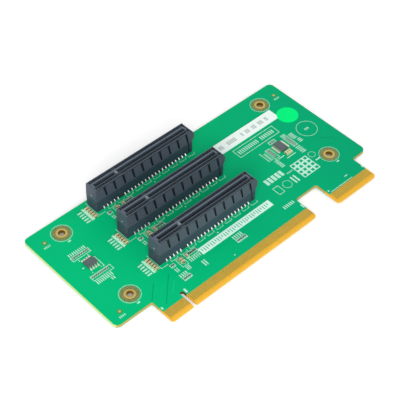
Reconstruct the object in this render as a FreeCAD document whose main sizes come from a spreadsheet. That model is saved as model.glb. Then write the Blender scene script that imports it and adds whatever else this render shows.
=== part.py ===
import FreeCAD, Part
import math
import os
import re

import Sketcher
from FreeCAD import Placement, Rotation, Vector

# Server riser card: a two-tab edge-connector board that carries three eight-lane card slots.
# Frame: origin on the centre of the key notch, at the tip of the main tab, at half the board's
# thickness. +X runs along the board towards the second tab, +Y away from the gold edge, and
# +Z up out of the component side. Millimetres.

SIZES = {
    # board outline
    "board_thickness": 1.57,
    "board_left": 30.9,
    "board_right": 118.7,
    "board_back": 74.7,
    "front_edge": 12.95,
    "outer_radius": 2.4,
    "step_radius": 1.0,
    "tab_radius": 1.3,
    # main tab and its key notch
    "tab_left": 12.15,
    "tab_right": 72.15,
    "notch_width": 1.9,
    "notch_depth": 8.9,
    "bevel_length": 1.3,
    "bevel_drop": 0.47,
    # second tab
    "aux_left": 85.4,
    "aux_right": 109.6,
    "aux_drop": 1.3,
    # contact fingers
    "finger_pitch": 1.0,
    "finger_width": 0.7,
    "finger_start": 2.05,
    "finger_length": 4.0,
    "foil": 0.05,
    "pins_before_key": 11,
    "pins_after_key": 71,
    "key_to_pin": 1.5,
    "aux_pins": 23,
    # mounting holes
    "hole_radius": 1.6,
    "hole_left": 16.0,
    "hole_front": 22.2,
    "hole_pitch_long": 120.0,
    "hole_pitch_short": 44.7,
    "land_radius": 4.25,
    "rim_radius": 2.6,
    "rim_height": 0.16,
    "fiducial_radius": 0.65,
    "fiducial_left": 24.9,
    "fiducial_from_end": 4.9,
    "fiducial_drop": 4.0,
    "fiducial_rise": 0.4,
    # slots
    "slot_key": 17.2,
    "slot_front": 28.58,
    "slot_pitch": 20.32,
    "slot_pins_before": 11,
    "slot_pins_after": 38,
    # slot housing
    "housing_left": 14.35,
    "crown_right": 41.4,
    "foot_right": 41.7,
    "nose_right": 43.0,
    "nose_level": 9.8,
    "nose_rise": 1.8,
    "nose_inset": 0.5,
    "nose_foot": 6.7,
    "housing_half": 3.5,
    "housing_height": 13.2,
    "shoulder_height": 6.3,
    "shoulder_proud": 0.12,
    "top_half": 3.25,
    "peg_radius": 1.1,
    "peg_clearance": 0.08,
    "peg_reach": 0.9,
    "peg_from_pin": 1.65,
    # card slot in the housing
    "mouth_half": 0.9,
    "mouth_depth": 8.9,
    "mouth_margin": 0.9,
    "mouth_extra": 0.4,
    "lead_in": 0.3,
    "key_half": 0.55,
    "key_recess": 0.5,
    "lip_thickness": 0.55,
    "wall_thickness": 0.4,
    "trench_depth": 0.3,
    "trench_end": 1.1,
    "end_moat_depth": 1.5,
    "well_from_key": 13.05,
    "well_offset": 2.4,
    "well_radius": 0.42,
    "well_depth": 1.6,
    # contact cavities and contacts
    "cavity_width": 0.62,
    "cavity_floor": 2.4,
    "cavity_roof": 2.2,
    "cavity_back": 2.7,
    "pocket_near": 1.7,
    "contact_width": 0.5,
    "contact_gauge": 0.22,
    "beam_offset": 1.9,
    "tip_offset": 0.62,
    "tip_height": 9.4,
    "beam_height": 5.4,
    "knee_drop": 0.35,
    "tail_standoff": 0.36,
    "tail_reach": 0.75,
    "channel_height": 1.7,
    # solder
    "drill_radius": 0.35,
    "solder_gap": 0.01,
    "solder_radius": 0.46,
    "solder_neck": 0.1,
    "solder_rise": 0.45,
    "solder_drop": 0.5,
    # grip notches on the housing sides
    "notch_first": 9.52,
    "notch_pitch": 5.29,
    "notch_count": 10,
    "notch_wide": 1.25,
    "notch_narrow": 0.75,
    "notch_lean": 1.07,
    "notch_top": 12.5,
    "notch_foot": 7.05,
    "notch_floor": 2.95,
    "groove_wide": 0.8,
    "groove_lean": 1.0,
    "groove_sink": 0.5,
    # chip parts
    "cap_length": 2.0,
    "cap_width": 1.05,
    "cap_height": 0.85,
    "cap_end": 0.5,
    "chip_length": 1.0,
    "chip_width": 0.5,
    "chip_height": 0.35,
    "chip_end": 0.24,
    "cladding": 0.03,
    "bank_from_end": 2.05,
    "bank_first": 4.0,
    "bank_pitch": 1.5,
    "bank_count": 5,
    "bank_nudge_front": 0.0,
    "bank_nudge_middle": -1.0,
    "bank_nudge_back": -0.8,
    "row_gap": 3.5,
    "chip_row_pitch": 0.9,
    "front_row_pitch": 1.06,
    # packaged chips
    "left_chip_x": 17.5,
    "left_chip_y": 45.75,
    "left_chip_long": 4.9,
    "left_chip_wide": 3.9,
    "left_chip_tall": 1.2,
    "left_lead_pitch": 1.27,
    "left_lead_count": 4,
    "right_chip_x": 90.9,
    "right_chip_y": 40.4,
    "right_chip_long": 5.9,
    "right_chip_wide": 3.9,
    "right_chip_tall": 1.0,
    "right_lead_pitch": 0.65,
    "right_lead_count": 8,
    "lead_span": 1.05,
    "lead_gauge": 0.2,
    "chip_standoff": 0.1,
    "chip_chamfer": 0.15,
    "dimple_radius": 0.35,
    "dimple_depth": 0.1,
    "dimple_inset": 0.75,
    # print and labels
    "ink": 0.03,
    "stroke": 0.26,
    "ring_stroke": 0.18,
    "bar_share": 0.45,
    "bold_share": 0.7,
    "tray_gap": 1.9,
    "tray_first": 7.2,
    "tray_pitch": 5.25,
    "tray_count": 10,
    "tray_wide": 3.6,
    "tray_tall": 0.95,
    "tray_slant": 0.15,
    "label_left": 60.0,
    "label_right": 104.8,
    "label_front": 54.8,
    "label_back": 61.5,
    "sticker_x": 108.8,
    "sticker_y": 53.3,
    "sticker_radius": 5.25,
    "paper": 0.1,
}

doc = FreeCAD.newDocument("riser_card")
sheet = doc.addObject("Spreadsheet::Sheet", "Sizes")
for row, (alias, number) in enumerate(SIZES.items(), start=1):
    sheet.set(f"A{row}", alias)
    sheet.set(f"B{row}", str(number))
    sheet.setAlias(f"B{row}", alias)
doc.recompute()

WORDS = re.compile(r"[a-z_]+")
nodes = []


def linked(expression):
    """The expression with each size's name pointing at its cell."""
    return WORDS.sub(lambda m: f"Sizes.{m.group()}" if m.group() in SIZES else m.group(), expression)


def size(expression):
    """What an expression of sizes comes to, as a number."""
    return float(sheet.evalExpression(linked(expression)))


def bind(item, **properties):
    """Tie properties of an object to expressions of sizes."""
    for name, expression in properties.items():
        item.setExpression(name.replace("__", "."), linked(expression))


def place(item, x="0", y="0", z="0"):
    """Tie an object's position to expressions of sizes."""
    bind(item, Placement__Base__x=x, Placement__Base__y=y, Placement__Base__z=z)
    return item


def node(item, label):
    """Name an object as a sub-part that is written to its own file."""
    item.Label = label
    nodes.append(item)
    return item


def box(name, length, width, height, x, y, z):
    item = doc.addObject("Part::Box", name)
    bind(item, Length=length, Width=width, Height=height)
    return place(item, x, y, z)


def cylinder(name, radius, height, x, y, z):
    item = doc.addObject("Part::Cylinder", name)
    bind(item, Radius=radius, Height=height)
    return place(item, x, y, z)


def fuse(name, shapes):
    item = doc.addObject("Part::MultiFuse", name)
    item.Shapes = shapes
    return item


def cut(name, base, tool):
    item = doc.addObject("Part::Cut", name)
    item.Base = base
    item.Tool = tool
    return item


def grouped(name, links, x="0", y="0", z="0"):
    """One object that holds others, moved together."""
    item = doc.addObject("Part::Compound", name)
    item.Links = links
    return place(item, x, y, z)


def mirrored(name, source, normal):
    item = doc.addObject("Part::Mirroring", name)
    item.Source = source
    item.Normal = normal
    return item


def repeated(name, pairs):
    """One object of separate solids: each pair is a solid and the places it is copied to."""
    item = doc.addObject("Part::Feature", name)
    copies = [solid.translated(Vector(*spot)) for solid, spots in pairs for spot in spots]
    item.Shape = Part.makeCompound(copies)
    return item


def slab(x, y, z, length, width, height):
    """A plain block from its lowest corner."""
    return Part.makeBox(length, width, height, Vector(x, y, z))


def centred(length, width, height, z=0.0):
    """A plain block centred on the Z axis, standing on z."""
    return slab(-length / 2, -width / 2, z, length, width, height)


def prism(outline, width):
    """A solid of that YZ outline, with its width centred on X."""
    corners = [Vector(-width / 2, y, z) for y, z in outline]
    face = Part.Face(Part.makePolygon(corners + corners[:1]))
    return face.extrude(Vector(width, 0, 0))


def side_prism(outline, near, far):
    """A solid of that XZ outline, between two distances along Y."""
    corners = [Vector(x, near, z) for x, z in outline]
    face = Part.Face(Part.makePolygon(corners + corners[:1]))
    return face.extrude(Vector(0, far - near, 0))


def turned(outline):
    """A solid of revolution about Z from an (r, z) outline."""
    corners = [Vector(r, 0, z) for r, z in outline]
    face = Part.Face(Part.makePolygon(corners + corners[:1]))
    return face.revolve(Vector(0, 0, 0), Vector(0, 0, 1), 360)


def strip(path, gauge):
    """The YZ outline of a strip of that gauge, bent along a path."""
    half = gauge / 2
    left, right = [], []
    for index, (y, z) in enumerate(path):
        before = path[max(index - 1, 0)]
        after = path[min(index + 1, len(path) - 1)]
        into = direction(before, (y, z)) or direction((y, z), after)
        out = direction((y, z), after) or into
        mean = (into[0] + out[0], into[1] + out[1])
        scale = 2 * half / (mean[0] ** 2 + mean[1] ** 2)
        left.append((y - mean[1] * scale, z + mean[0] * scale))
        right.append((y + mean[1] * scale, z - mean[0] * scale))
    return left + right[::-1]


def direction(start, end):
    """The unit vector from start to end, or None where they meet."""
    run = math.dist(start, end)
    if run == 0:
        return None
    return ((end[0] - start[0]) / run, (end[1] - start[1]) / run)


def outline_sketch(body, name, plane, points):
    """A closed outline whose corners are tied to expressions of sizes."""
    sketch = body.newObject("Sketcher::SketchObject", name)
    support = next(f for f in body.Origin.OriginFeatures if f.Role == plane)
    sketch.AttachmentSupport = [(support, "")]
    sketch.MapMode = "FlatFace"
    corners = [Vector(size(x), size(y), 0) for x, y in points]
    for start, end in zip(corners, corners[1:] + corners[:1]):
        sketch.addGeometry(Part.LineSegment(start, end))
    for index, (x, y) in enumerate(points):
        following = (index + 1) % len(points)
        sketch.addConstraint(Sketcher.Constraint("Coincident", index, 2, following, 1))
        for kind, expression in (("DistanceX", x), ("DistanceY", y)):
            rule = Sketcher.Constraint(kind, -1, 1, index, 1, size(expression))
            place_in_list = sketch.addConstraint(rule)
            sketch.setExpression(f"Constraints[{place_in_list}]", linked(expression))
    return sketch


def round_corners(body, base, groups):
    """Round the upright edges that stand at the given corners, one radius to a group."""
    for name, radius, corners in groups:
        doc.recompute()
        wanted = [(size(x), size(y)) for x, y in corners]
        edges = []
        for number, edge in enumerate(base.Shape.Edges, start=1):
            ends = [(v.Point.x, v.Point.y) for v in edge.Vertexes]
            upright = len(ends) == 2 and math.dist(ends[0], ends[1]) < 1e-6
            if upright and any(math.dist(ends[0], spot) < 1e-6 for spot in wanted):
                edges.append(f"Edge{number}")
        fillet = body.newObject("PartDesign::Fillet", name)
        fillet.Base = (base, edges)
        bind(fillet, Radius=radius)
        base = fillet
    return base


# ---------------------------------------------------------------- places shared by several pieces

TOP = "board_thickness / 2"
SLOTS = {3: "slot_front", 2: "slot_front + slot_pitch", 1: "slot_front + 2 * slot_pitch"}
BANK_NUDGES = {3: "bank_nudge_front", 2: "bank_nudge_middle", 1: "bank_nudge_back"}
LAST_PIN = "key_to_pin + (slot_pins_after - 1) * finger_pitch"
FIRST_PIN = "key_to_pin + (slot_pins_before - 1) * finger_pitch"


def slot_pins():
    """X of every contact in a slot, from its key, in two staggered sets: inner and outer tails."""
    pitch = size("finger_pitch")
    start = size("key_to_pin")
    before = [-start - k * pitch for k in range(int(size("slot_pins_before")))]
    after = [start + k * pitch for k in range(int(size("slot_pins_after")))]
    inner = before[0::2] + after[1::2]
    outer = before[1::2] + after[0::2]
    return inner, outer


def tail_rows():
    """Distance of the inner and the outer row of tails from the slot's centre line."""
    return size("beam_offset"), size("housing_half + tail_standoff")


# ---------------------------------------------------------------- the board

def board_blank():
    body = doc.addObject("PartDesign::Body", "board_blank")
    left_end, right_end = "-board_left", "board_right"
    corners = [
        (left_end, "front_edge"),
        ("-tab_left", "front_edge"),
        ("-tab_left", "0"),
        ("tab_right", "0"),
        ("tab_right", "front_edge"),
        ("aux_left", "front_edge"),
        ("aux_left", "-aux_drop"),
        ("aux_right", "-aux_drop"),
        ("aux_right", "front_edge"),
        (right_end, "front_edge"),
        (right_end, "board_back"),
        (left_end, "board_back"),
    ]
    sketch = outline_sketch(body, "board_outline", "XY_Plane", corners)
    pad = body.newObject("PartDesign::Pad", "board_pad")
    pad.Profile = sketch
    pad.Midplane = True
    bind(pad, Length="board_thickness")
    outer = [corners[i] for i in (0, 9, 10, 11)]
    steps = [corners[i] for i in (1, 2, 8)]
    tabs = [corners[i] for i in (3, 4, 5, 6, 7)]
    groups = [
        ("outer_corners", "outer_radius", outer),
        ("step_corners", "step_radius", steps),
        ("tab_corners", "tab_radius", tabs),
    ]
    body.Tip = round_corners(body, pad, groups)
    return body


def bevel(name, left, right, tip, side):
    """The wedge that slopes one face of a tab down to its tip."""
    wedge = doc.addObject("Part::Wedge", name)
    low, high, flat = f"{TOP} - bevel_drop", f"{TOP} + bevel_drop", TOP
    if side < 0:
        low, high, flat = f"-({high})", f"-({low})", f"-({flat})"
    far = (flat, high) if side > 0 else (low, flat)
    bind(wedge, Xmin=left, Xmax=right, X2min=left, X2max=right)
    bind(wedge, Ymin=tip, Ymax=f"{tip} + bevel_length", Zmin=low, Zmax=high, Z2min=far[0], Z2max=far[1])
    return wedge


def key_notch():
    radius = "notch_width / 2"
    depth = f"notch_depth - {radius}"
    straight = box("notch_straight", "notch_width", f"{depth} + 1", "2 * board_thickness",
                   f"-{radius}", "-1", "-board_thickness")
    end = cylinder("notch_end", radius, "2 * board_thickness", "0", depth, "-board_thickness")
    return fuse("key_notch", [straight, end])


def hole_spots():
    """The four mounting holes, on a rectangle."""
    left, front = -size("hole_left"), size("hole_front")
    steps = [(i, j) for i in (0, 1) for j in (0, 1)]
    return [(left + i * size("hole_pitch_long"), front + j * size("hole_pitch_short"), 0) for i, j in steps]


def drillings():
    """Every round hole through the board."""
    deep = 2 * size("board_thickness")
    inner, outer = slot_pins()
    inner_row, outer_row = tail_rows()
    middle = -deep / 2
    tail = Part.makeCylinder(size("drill_radius"), deep, Vector(0, 0, middle))
    peg = Part.makeCylinder(size("peg_radius + peg_clearance"), deep, Vector(0, 0, middle))
    mounting = Part.makeCylinder(size("hole_radius + foil"), deep, Vector(0, 0, middle))
    key = size("slot_key")
    tails, pegs = [], []
    for expression in SLOTS.values():
        y = size(expression)
        for side in (-1, 1):
            tails += [(key + x, y + side * inner_row, 0) for x in inner]
            tails += [(key + x, y + side * outer_row, 0) for x in outer]
        pegs += [(key, y, 0), (key + size(f"{LAST_PIN} + peg_from_pin"), y, 0)]
    return repeated("drillings", [(tail, tails), (peg, pegs), (mounting, hole_spots())])


def make_board():
    tip = "-aux_drop"
    cuts = [
        bevel("bevel_top", "-tab_left - 1", "tab_right + 1", "0", 1),
        bevel("bevel_bottom", "-tab_left - 1", "tab_right + 1", "0", -1),
        bevel("aux_bevel_top", "aux_left - 1", "aux_right + 1", tip, 1),
        bevel("aux_bevel_bottom", "aux_left - 1", "aux_right + 1", tip, -1),
        key_notch(),
    ]
    shaped = cut("board_shaped", board_blank(), fuse("edge_cuts", cuts))
    node(cut("board", shaped, drillings()), "circuit_board")


def make_platings():
    """Plated eyelets in the mounting holes: a barrel, a land on each face and a raised rim."""
    inner = size("hole_radius")
    barrel = size("hole_radius + foil")
    half = size(TOP)
    land = half + size("foil")
    rim = half + size("rim_height")
    crown = size("(hole_radius + rim_radius) / 2")
    upper = [(size("land_radius"), half), (size("land_radius"), land), (size("rim_radius"), land),
             (crown, rim), (inner, rim - size("foil"))]
    lower = [(r, -z) for r, z in reversed(upper)]
    eyelet = turned([(barrel, half)] + upper + lower + [(barrel, -half)])
    node(repeated("eyelets", [(eyelet, hole_spots())]), "mounting_hole_platings")
    dot = Part.makeCylinder(size("fiducial_radius"), size("foil"), Vector(0, 0, half))
    left, right = -size("fiducial_left"), size("board_right - fiducial_from_end")
    front = size("hole_front - fiducial_drop")
    back = size("hole_front + hole_pitch_short + fiducial_rise")
    spots = [(left, back, 0), (left, front, 0), (right, back, 0)]
    node(repeated("fiducials", [(dot, spots)]), "fiducial_pads")


def make_fingers():
    """Gold contact fingers on both faces of the two tabs."""
    pitch = size("finger_pitch")
    start = size("key_to_pin")
    before = [-start - k * pitch for k in range(int(size("pins_before_key")))]
    after = [start + k * pitch for k in range(int(size("pins_after_key")))]
    count = int(size("aux_pins"))
    middle = size("(aux_left + aux_right) / 2")
    aux = [middle + (k - (count - 1) / 2) * pitch for k in range(count)]
    tips = (("edge_fingers", before + after, 0.0), ("aux_fingers", aux, -size("aux_drop")))
    faces = (("top", size(TOP)), ("bottom", -size(TOP) - size("foil")))
    for group, columns, tip in tips:
        for face, z in faces:
            finger = slab(-size("finger_width") / 2, 0, 0, size("finger_width"), size("finger_length"),
                          size("foil"))
            spots = [(x, tip + size("finger_start"), z) for x in columns]
            node(repeated(f"{group}_{face}_set", [(finger, spots)]), f"{group}_{face}")


# ---------------------------------------------------------------- the slots

def housing_blank():
    """The moulded block with a rounded nose at its right end and two locating pegs."""
    body = doc.addObject("PartDesign::Body", "housing_blank")
    foot, shoulder, crown = "housing_half", "housing_half + shoulder_proud", "top_half"
    right_side = [(foot, "0"), (foot, "shoulder_height"), (shoulder, "shoulder_height"),
                  (crown, "housing_height")]
    left_side = [(f"-({y})", z) for y, z in reversed(right_side)]
    sketch = outline_sketch(body, "housing_section", "YZ_Plane", right_side + left_side)
    bind(sketch, AttachmentOffset__Base__z="-housing_left")
    pad = body.newObject("PartDesign::Pad", "housing_pad")
    pad.Profile = sketch
    bind(pad, Length="housing_left + nose_right")
    body.Tip = pad
    deep = "board_thickness + peg_reach"
    key_peg = cylinder("key_peg", "peg_radius", f"{deep} + 1", "0", "0", f"-({deep})")
    end_peg = cylinder("end_peg", "peg_radius", f"{deep} + 1", f"{LAST_PIN} + peg_from_pin", "0",
                       f"-({deep})")
    trimmed = cut("housing_trimmed", body, nose_trim())
    return fuse("housing_pegged", [trimmed, key_peg, end_peg])


def nose_trim():
    """What is taken off the right end: it leaves a straight foot, a round nose and a short slope."""
    foot, crown, tip = size("foot_right"), size("crown_right"), size("nose_right")
    level, rise, top = size("nose_level"), size("nose_rise"), size("housing_height")
    shy = tip - size("nose_inset")
    side = -size("housing_half") - 1
    below = [(foot, -1), (foot, size("nose_foot")), (shy, level - rise)]
    above = [(shy, level + rise), (crown, top), (crown, top + 1), (tip + 1, top + 1), (tip + 1, -1)]
    low, high = ([Vector(x, side, z) for x, z in run] for run in (below, above))
    nose = Part.Arc(low[-1], Vector(tip, side, level), high[0]).toShape()
    wire = Part.Wire([Part.makePolygon(low), nose, Part.makePolygon(high + low[:1])])
    return repeated("nose_trim", [(Part.Face(wire).extrude(Vector(0, -2 * side, 0)), [(0, 0, 0)])])


def mouth_ends():
    """X where the short and the long part of the card slot begin and end."""
    left = f"-({FIRST_PIN} + mouth_margin)"
    right = f"{LAST_PIN} + mouth_margin + mouth_extra"
    return left, right


def card_opening():
    """The slot that takes the card's edge: two parts with a key between them and a lead-in slope."""
    left, right = mouth_ends()
    floor = "housing_height - mouth_depth"
    wide = "2 * mouth_half"
    short_part = box("short_part", f"-key_half - ({left})", wide, "mouth_depth + 1", left,
                     "-mouth_half", floor)
    long_part = box("long_part", f"{right} - key_half", wide, "mouth_depth + 1", "key_half",
                    "-mouth_half", floor)
    over_key = box("over_key", "4 * key_half", wide, "key_recess + 1", "-2 * key_half", "-mouth_half",
                   "housing_height - key_recess")
    lead = doc.addObject("Part::Wedge", "lead_in_slope")
    lead.Placement = Placement(Vector(0, 0, 0), Rotation(Vector(1, 0, 0), 90))
    tight = {"Xmin": left, "Xmax": right, "Zmin": "-mouth_half", "Zmax": "mouth_half"}
    loose = {"X2min": f"{left} - lead_in", "X2max": f"{right} + lead_in",
             "Z2min": "-mouth_half - lead_in", "Z2max": "mouth_half + lead_in"}
    bind(lead, Ymin="housing_height - lead_in", Ymax="housing_height", **tight, **loose)
    return fuse("card_slot", [short_part, long_part, over_key, lead])


def trenches():
    """Shallow trenches beside the card slot, a deep one at its right end and two round wells."""
    left, right = mouth_ends()
    lip = "mouth_half + lip_thickness"
    across = f"top_half - wall_thickness - ({lip})"
    end = "crown_right - wall_thickness"
    start = f"{left} - trench_end"
    run = f"{end} - ({start})"
    tall, low = "trench_depth + 1", "housing_height - trench_depth"
    back = box("trench_back", run, across, tall, start, lip, low)
    front = box("trench_front", run, across, tall, start, f"-({lip}) - ({across})", low)
    side_start = f"{right} + lip_thickness"
    side = box("trench_end", f"{end} - ({side_start})", f"2 * (({lip}) + ({across}))",
               "end_moat_depth + 1", side_start, f"-({lip}) - ({across})",
               "housing_height - end_moat_depth")
    wells = [cylinder(f"well_{name}", "well_radius", "well_depth + 1", "-well_from_key",
                      f"{sign} * well_offset", "housing_height - well_depth")
             for name, sign in (("back", 1), ("front", -1))]
    return fuse("trenches", [back, front, side] + wells)


def cavities():
    """A pocket for each contact, open to the card slot and to the top, and the way out for its tail."""
    inside = size("mouth_half") - 0.1
    near_wall, back = size("pocket_near"), size("cavity_back")
    floor, roof = size("cavity_floor"), size("housing_height - cavity_roof")
    over = size("housing_height") + 1
    slack = 2 * size("contact_gauge")
    inner_row = size("beam_offset")
    ceiling = size("channel_height")
    outside = size("housing_half") + 1
    low = -0.5
    opening = [(inside, floor), (inside, roof), (near_wall, roof), (near_wall, over), (back, over)]
    inner = opening + [(back, floor), (inner_row + slack, floor), (inner_row + slack, low),
                       (inner_row - slack, low), (inner_row - slack, floor)]
    outer = opening + [(back, ceiling), (outside, ceiling), (outside, low), (inner_row - slack, low),
                       (inner_row - slack, floor)]
    width = size("cavity_width")
    near, far = slot_pins()
    pairs = []
    for outline, columns in ((inner, near), (outer, far)):
        for side in (-1, 1):
            solid = prism([(side * y, z) for y, z in outline], width)
            pairs.append((solid, [(x, 0, 0) for x in columns]))
    return repeated("contact_cavities", pairs)


def grip_notches():
    """Blind notches that lean and narrow downwards on both sides, and a groove under the last one."""
    top, foot, lean = size("notch_top"), size("notch_foot"), size("notch_lean")
    wide, narrow, groove = size("notch_wide") / 2, size("notch_narrow") / 2, size("groove_wide") / 2
    notch = [(-wide, top), (wide, top), (lean + narrow, foot), (lean - narrow, foot)]
    base = lean + size("groove_lean")
    channel = [(lean - groove, foot), (lean + groove, foot), (base + groove, 0), (base - groove, 0)]
    spots = [(k * size("notch_pitch") - size("notch_first"), 0, 0)
             for k in range(int(size("notch_count")))]
    outside = size("housing_half") + 1
    floor, sunk = size("notch_floor"), size("housing_half - groove_sink")
    notches, grooves = [], []
    for side in (-1, 1):
        notches.append((side_prism(notch, side * floor, side * outside), spots))
        grooves.append((side_prism(channel, side * sunk, side * outside), spots[-1:]))
    return fuse("side_cuts", [repeated("side_notches", notches), repeated("side_grooves", grooves)])


def contact_outlines():
    """The bent strip of a contact with an inner tail, and of one with an outer tail."""
    beam, tip = size("beam_offset"), size("tip_offset")
    inner_row, outer_row = tail_rows()
    end = -size("board_thickness + tail_reach")
    touch, rise = size("tip_height"), size("beam_height")
    root = size("cavity_floor") + 0.5
    spring = [(beam, root), (beam - 0.1, rise), (tip + 0.1, touch - 0.5), (tip, touch),
              (tip + 0.15, touch + 0.6), (tip + 0.5, touch + 1.3)]
    knee = size("channel_height - knee_drop")
    inner = [(inner_row, end)] + spring
    outer = [(outer_row, end), (outer_row, size("solder_rise") + 0.1), (outer_row - 0.8, knee - 0.1),
             (beam, knee)] + spring
    gauge = size("contact_gauge")
    return strip(inner, gauge), strip(outer, gauge)


def contact_row():
    """All the contacts on one side of a slot."""
    width = size("contact_width")
    pairs = []
    for outline, columns in zip(contact_outlines(), slot_pins()):
        pairs.append((prism(outline, width), [(x, 0, 0) for x in columns]))
    return repeated("contact_row", pairs)


def solder_row():
    """Solder that fills each plated hole of one side and stands round its tail."""
    barrel = size("drill_radius - solder_gap")
    flare = size("solder_radius")
    neck = size("contact_width / 2 + solder_neck")
    base = -size("board_thickness")
    below = [(0, base - size("solder_drop")), (neck, base - size("solder_drop")), (flare, base),
             (barrel, base)]
    above = [(barrel, 0), (flare, 0), (neck, size("solder_rise")), (0, size("solder_rise"))]
    deep = size("board_thickness + tail_reach") + 1
    tail = centred(size("contact_width"), size("contact_gauge"), deep + 1, -deep)
    outer = turned(below + above).cut(tail)
    inner = turned(below + [(barrel, 0), (0, 0)]).cut(tail)
    near, far = slot_pins()
    inner_row, outer_row = tail_rows()
    pairs = [(inner, [(x, inner_row, 0) for x in near]), (outer, [(x, outer_row, 0) for x in far])]
    return repeated("solder_row", pairs)


def make_slots():
    gripped = cut("housing_gripped", housing_blank(), grip_notches())
    opened = cut("housing_opened", gripped, fuse("housing_mouth", [card_opening(), trenches()]))
    housing = cut("housing_form", opened, cavities())
    sides = {"back": contact_row(), "front": None}
    sides["front"] = mirrored("contact_row_front", sides["back"], Vector(0, 1, 0))
    solder_back = solder_row()
    solder_front = mirrored("solder_row_front", solder_back, Vector(0, 1, 0))
    for number, y in SLOTS.items():
        spot = ("slot_key", y, TOP)
        node(grouped(f"housing_{number}", [housing], *spot), f"slot_{number}_housing")
        for side, row in sides.items():
            node(grouped(f"contacts_{side}_{number}", [row], *spot), f"slot_{number}_contacts_{side}")
        joints = [solder_back, solder_front]
        node(grouped(f"solder_{number}", joints, *spot), f"slot_{number}_solder_joints")


# ---------------------------------------------------------------- small parts

def chip_forms(length, width, height, end, along_x):
    """Body and end caps of a two-ended chip part, centred, standing on z = 0."""
    clad = size("cladding")
    body = centred(length - 2 * end, width - 2 * clad, height - clad, 0)
    cap = slab(length / 2 - end, -width / 2, 0, end, width, height)
    caps = [cap, cap.mirror(Vector(0, 0, 0), Vector(1, 0, 0))]
    solids = [body] + caps
    if not along_x:
        solids = [s.rotated(Vector(0, 0, 0), Vector(0, 0, 1), 90) for s in solids]
    return solids[0], solids[1:]


def capacitor(along_x):
    return chip_forms(size("cap_length"), size("cap_width"), size("cap_height"), size("cap_end"), along_x)


def resistor(along_x):
    return chip_forms(size("chip_length"), size("chip_width"), size("chip_height"), size("chip_end"),
                      along_x)


def chip_group(name, kinds):
    """Bodies and end caps of a group of chip parts, as two objects of separate solids."""
    bodies, caps = [], []
    for (body, ends), spots in kinds:
        bodies.append((body, spots))
        caps += [(cap, spots) for cap in ends]
    return repeated(f"{name}_bodies_set", bodies), repeated(f"{name}_terminals_set", caps)


def row_of(count, start, pitch, y):
    """Places in a row along X."""
    return [(start + k * pitch, y, 0) for k in range(count)]


def column_of(count, x, start, pitch):
    """Places in a column that runs towards the gold edge."""
    return [(x, start - k * pitch, 0) for k in range(count)]


def slot_part_spots(nudge):
    """Places of the chip parts round a slot, from its key and centre line.

    The bank beside the housing's left end sits further forward at some slots, by the nudge.
    """
    end = -size("housing_left + bank_from_end")
    pitch, chip_pitch = size("bank_pitch"), size("chip_row_pitch")
    count = int(size("bank_count"))
    bank = column_of(count, end, nudge + (count - 1) * pitch - size("bank_first"), pitch)
    row = -size("housing_half + row_gap")
    pair = row_of(2, -10.75, 1.0, row - 0.1)
    stack = column_of(2, -5.7, row + 0.1, 1.3)
    lone = column_of(1, -5.7, row - 2.4, 0)
    brown = row_of(1, -2.2, 0, row - 0.2)
    line = row_of(5, -0.9, chip_pitch, row)
    return bank + stack, brown, pair + line, lone


def make_slot_parts():
    for number, y in SLOTS.items():
        spots = slot_part_spots(size(BANK_NUDGES[number]))
        flat_caps, upright_caps, upright_chips, flat_chips = spots
        caps = chip_group(f"slot_{number}_capacitor",
                          [(capacitor(True), flat_caps), (capacitor(False), upright_caps)])
        chips = chip_group(f"slot_{number}_resistor",
                           [(resistor(False), upright_chips), (resistor(True), flat_chips)])
        for kind, forms in (("capacitor", caps), ("resistor", chips)):
            for piece, form in zip(("bodies", "terminals"), forms):
                name = f"slot_{number}_{kind}_{piece}"
                node(grouped(f"{name}_placed", [form], "slot_key", y, TOP), name)


def package(name, long, wide, tall, pitch, count, turn):
    """A moulded chip with gull-wing leads along its two long sides."""
    length, width, height = size(long), size(wide), size(tall)
    stand, gauge, span = size("chip_standoff"), size("lead_gauge"), size("lead_span")
    body = centred(length, width, height, stand)
    top_edges = [e for e in body.Edges if e.CenterOfMass.z > stand + height - 0.01]
    body = body.makeChamfer(size("chip_chamfer"), top_edges)
    inset = size("dimple_inset")
    dimple = Part.makeCylinder(size("dimple_radius"), height, Vector(inset - length / 2, inset - width / 2,
                                                                     stand + height - size("dimple_depth")))
    body = body.cut(dimple)
    middle = stand + height / 2
    path = [(width / 2, middle), (width / 2 + 0.35 * span, middle),
            (width / 2 + 0.5 * span, gauge / 2), (width / 2 + span, gauge / 2)]
    outline = strip(path, gauge)
    thick = size(pitch) * 0.42
    steps = [((k - (int(size(count)) - 1) / 2) * size(pitch), 0, 0) for k in range(int(size(count)))]
    pairs = [(prism([(side * y, z) for y, z in outline], thick), steps) for side in (-1, 1)]
    block = repeated(f"{name}_block", [(body, [(0, 0, 0)])])
    leads = repeated(f"{name}_lead_set", pairs)
    for item in (block, leads):
        item.Shape = item.Shape.rotated(Vector(0, 0, 0), Vector(0, 0, 1), turn)
    return block, leads


def make_packages():
    left = package("left_chip", "left_chip_long", "left_chip_wide", "left_chip_tall",
                   "left_lead_pitch", "left_lead_count", 0)
    right = package("right_chip", "right_chip_long", "right_chip_wide", "right_chip_tall",
                    "right_lead_pitch", "right_lead_count", 90)
    spots = {"left": ("-left_chip_x", "left_chip_y", TOP), "right": ("right_chip_x", "right_chip_y", TOP)}
    for name, (block, leads) in (("left", left), ("right", right)):
        node(grouped(f"{name}_chip_placed", [block], *spots[name]), f"{name}_chip_body")
        node(grouped(f"{name}_leads_placed", [leads], *spots[name]), f"{name}_chip_leads")


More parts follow.
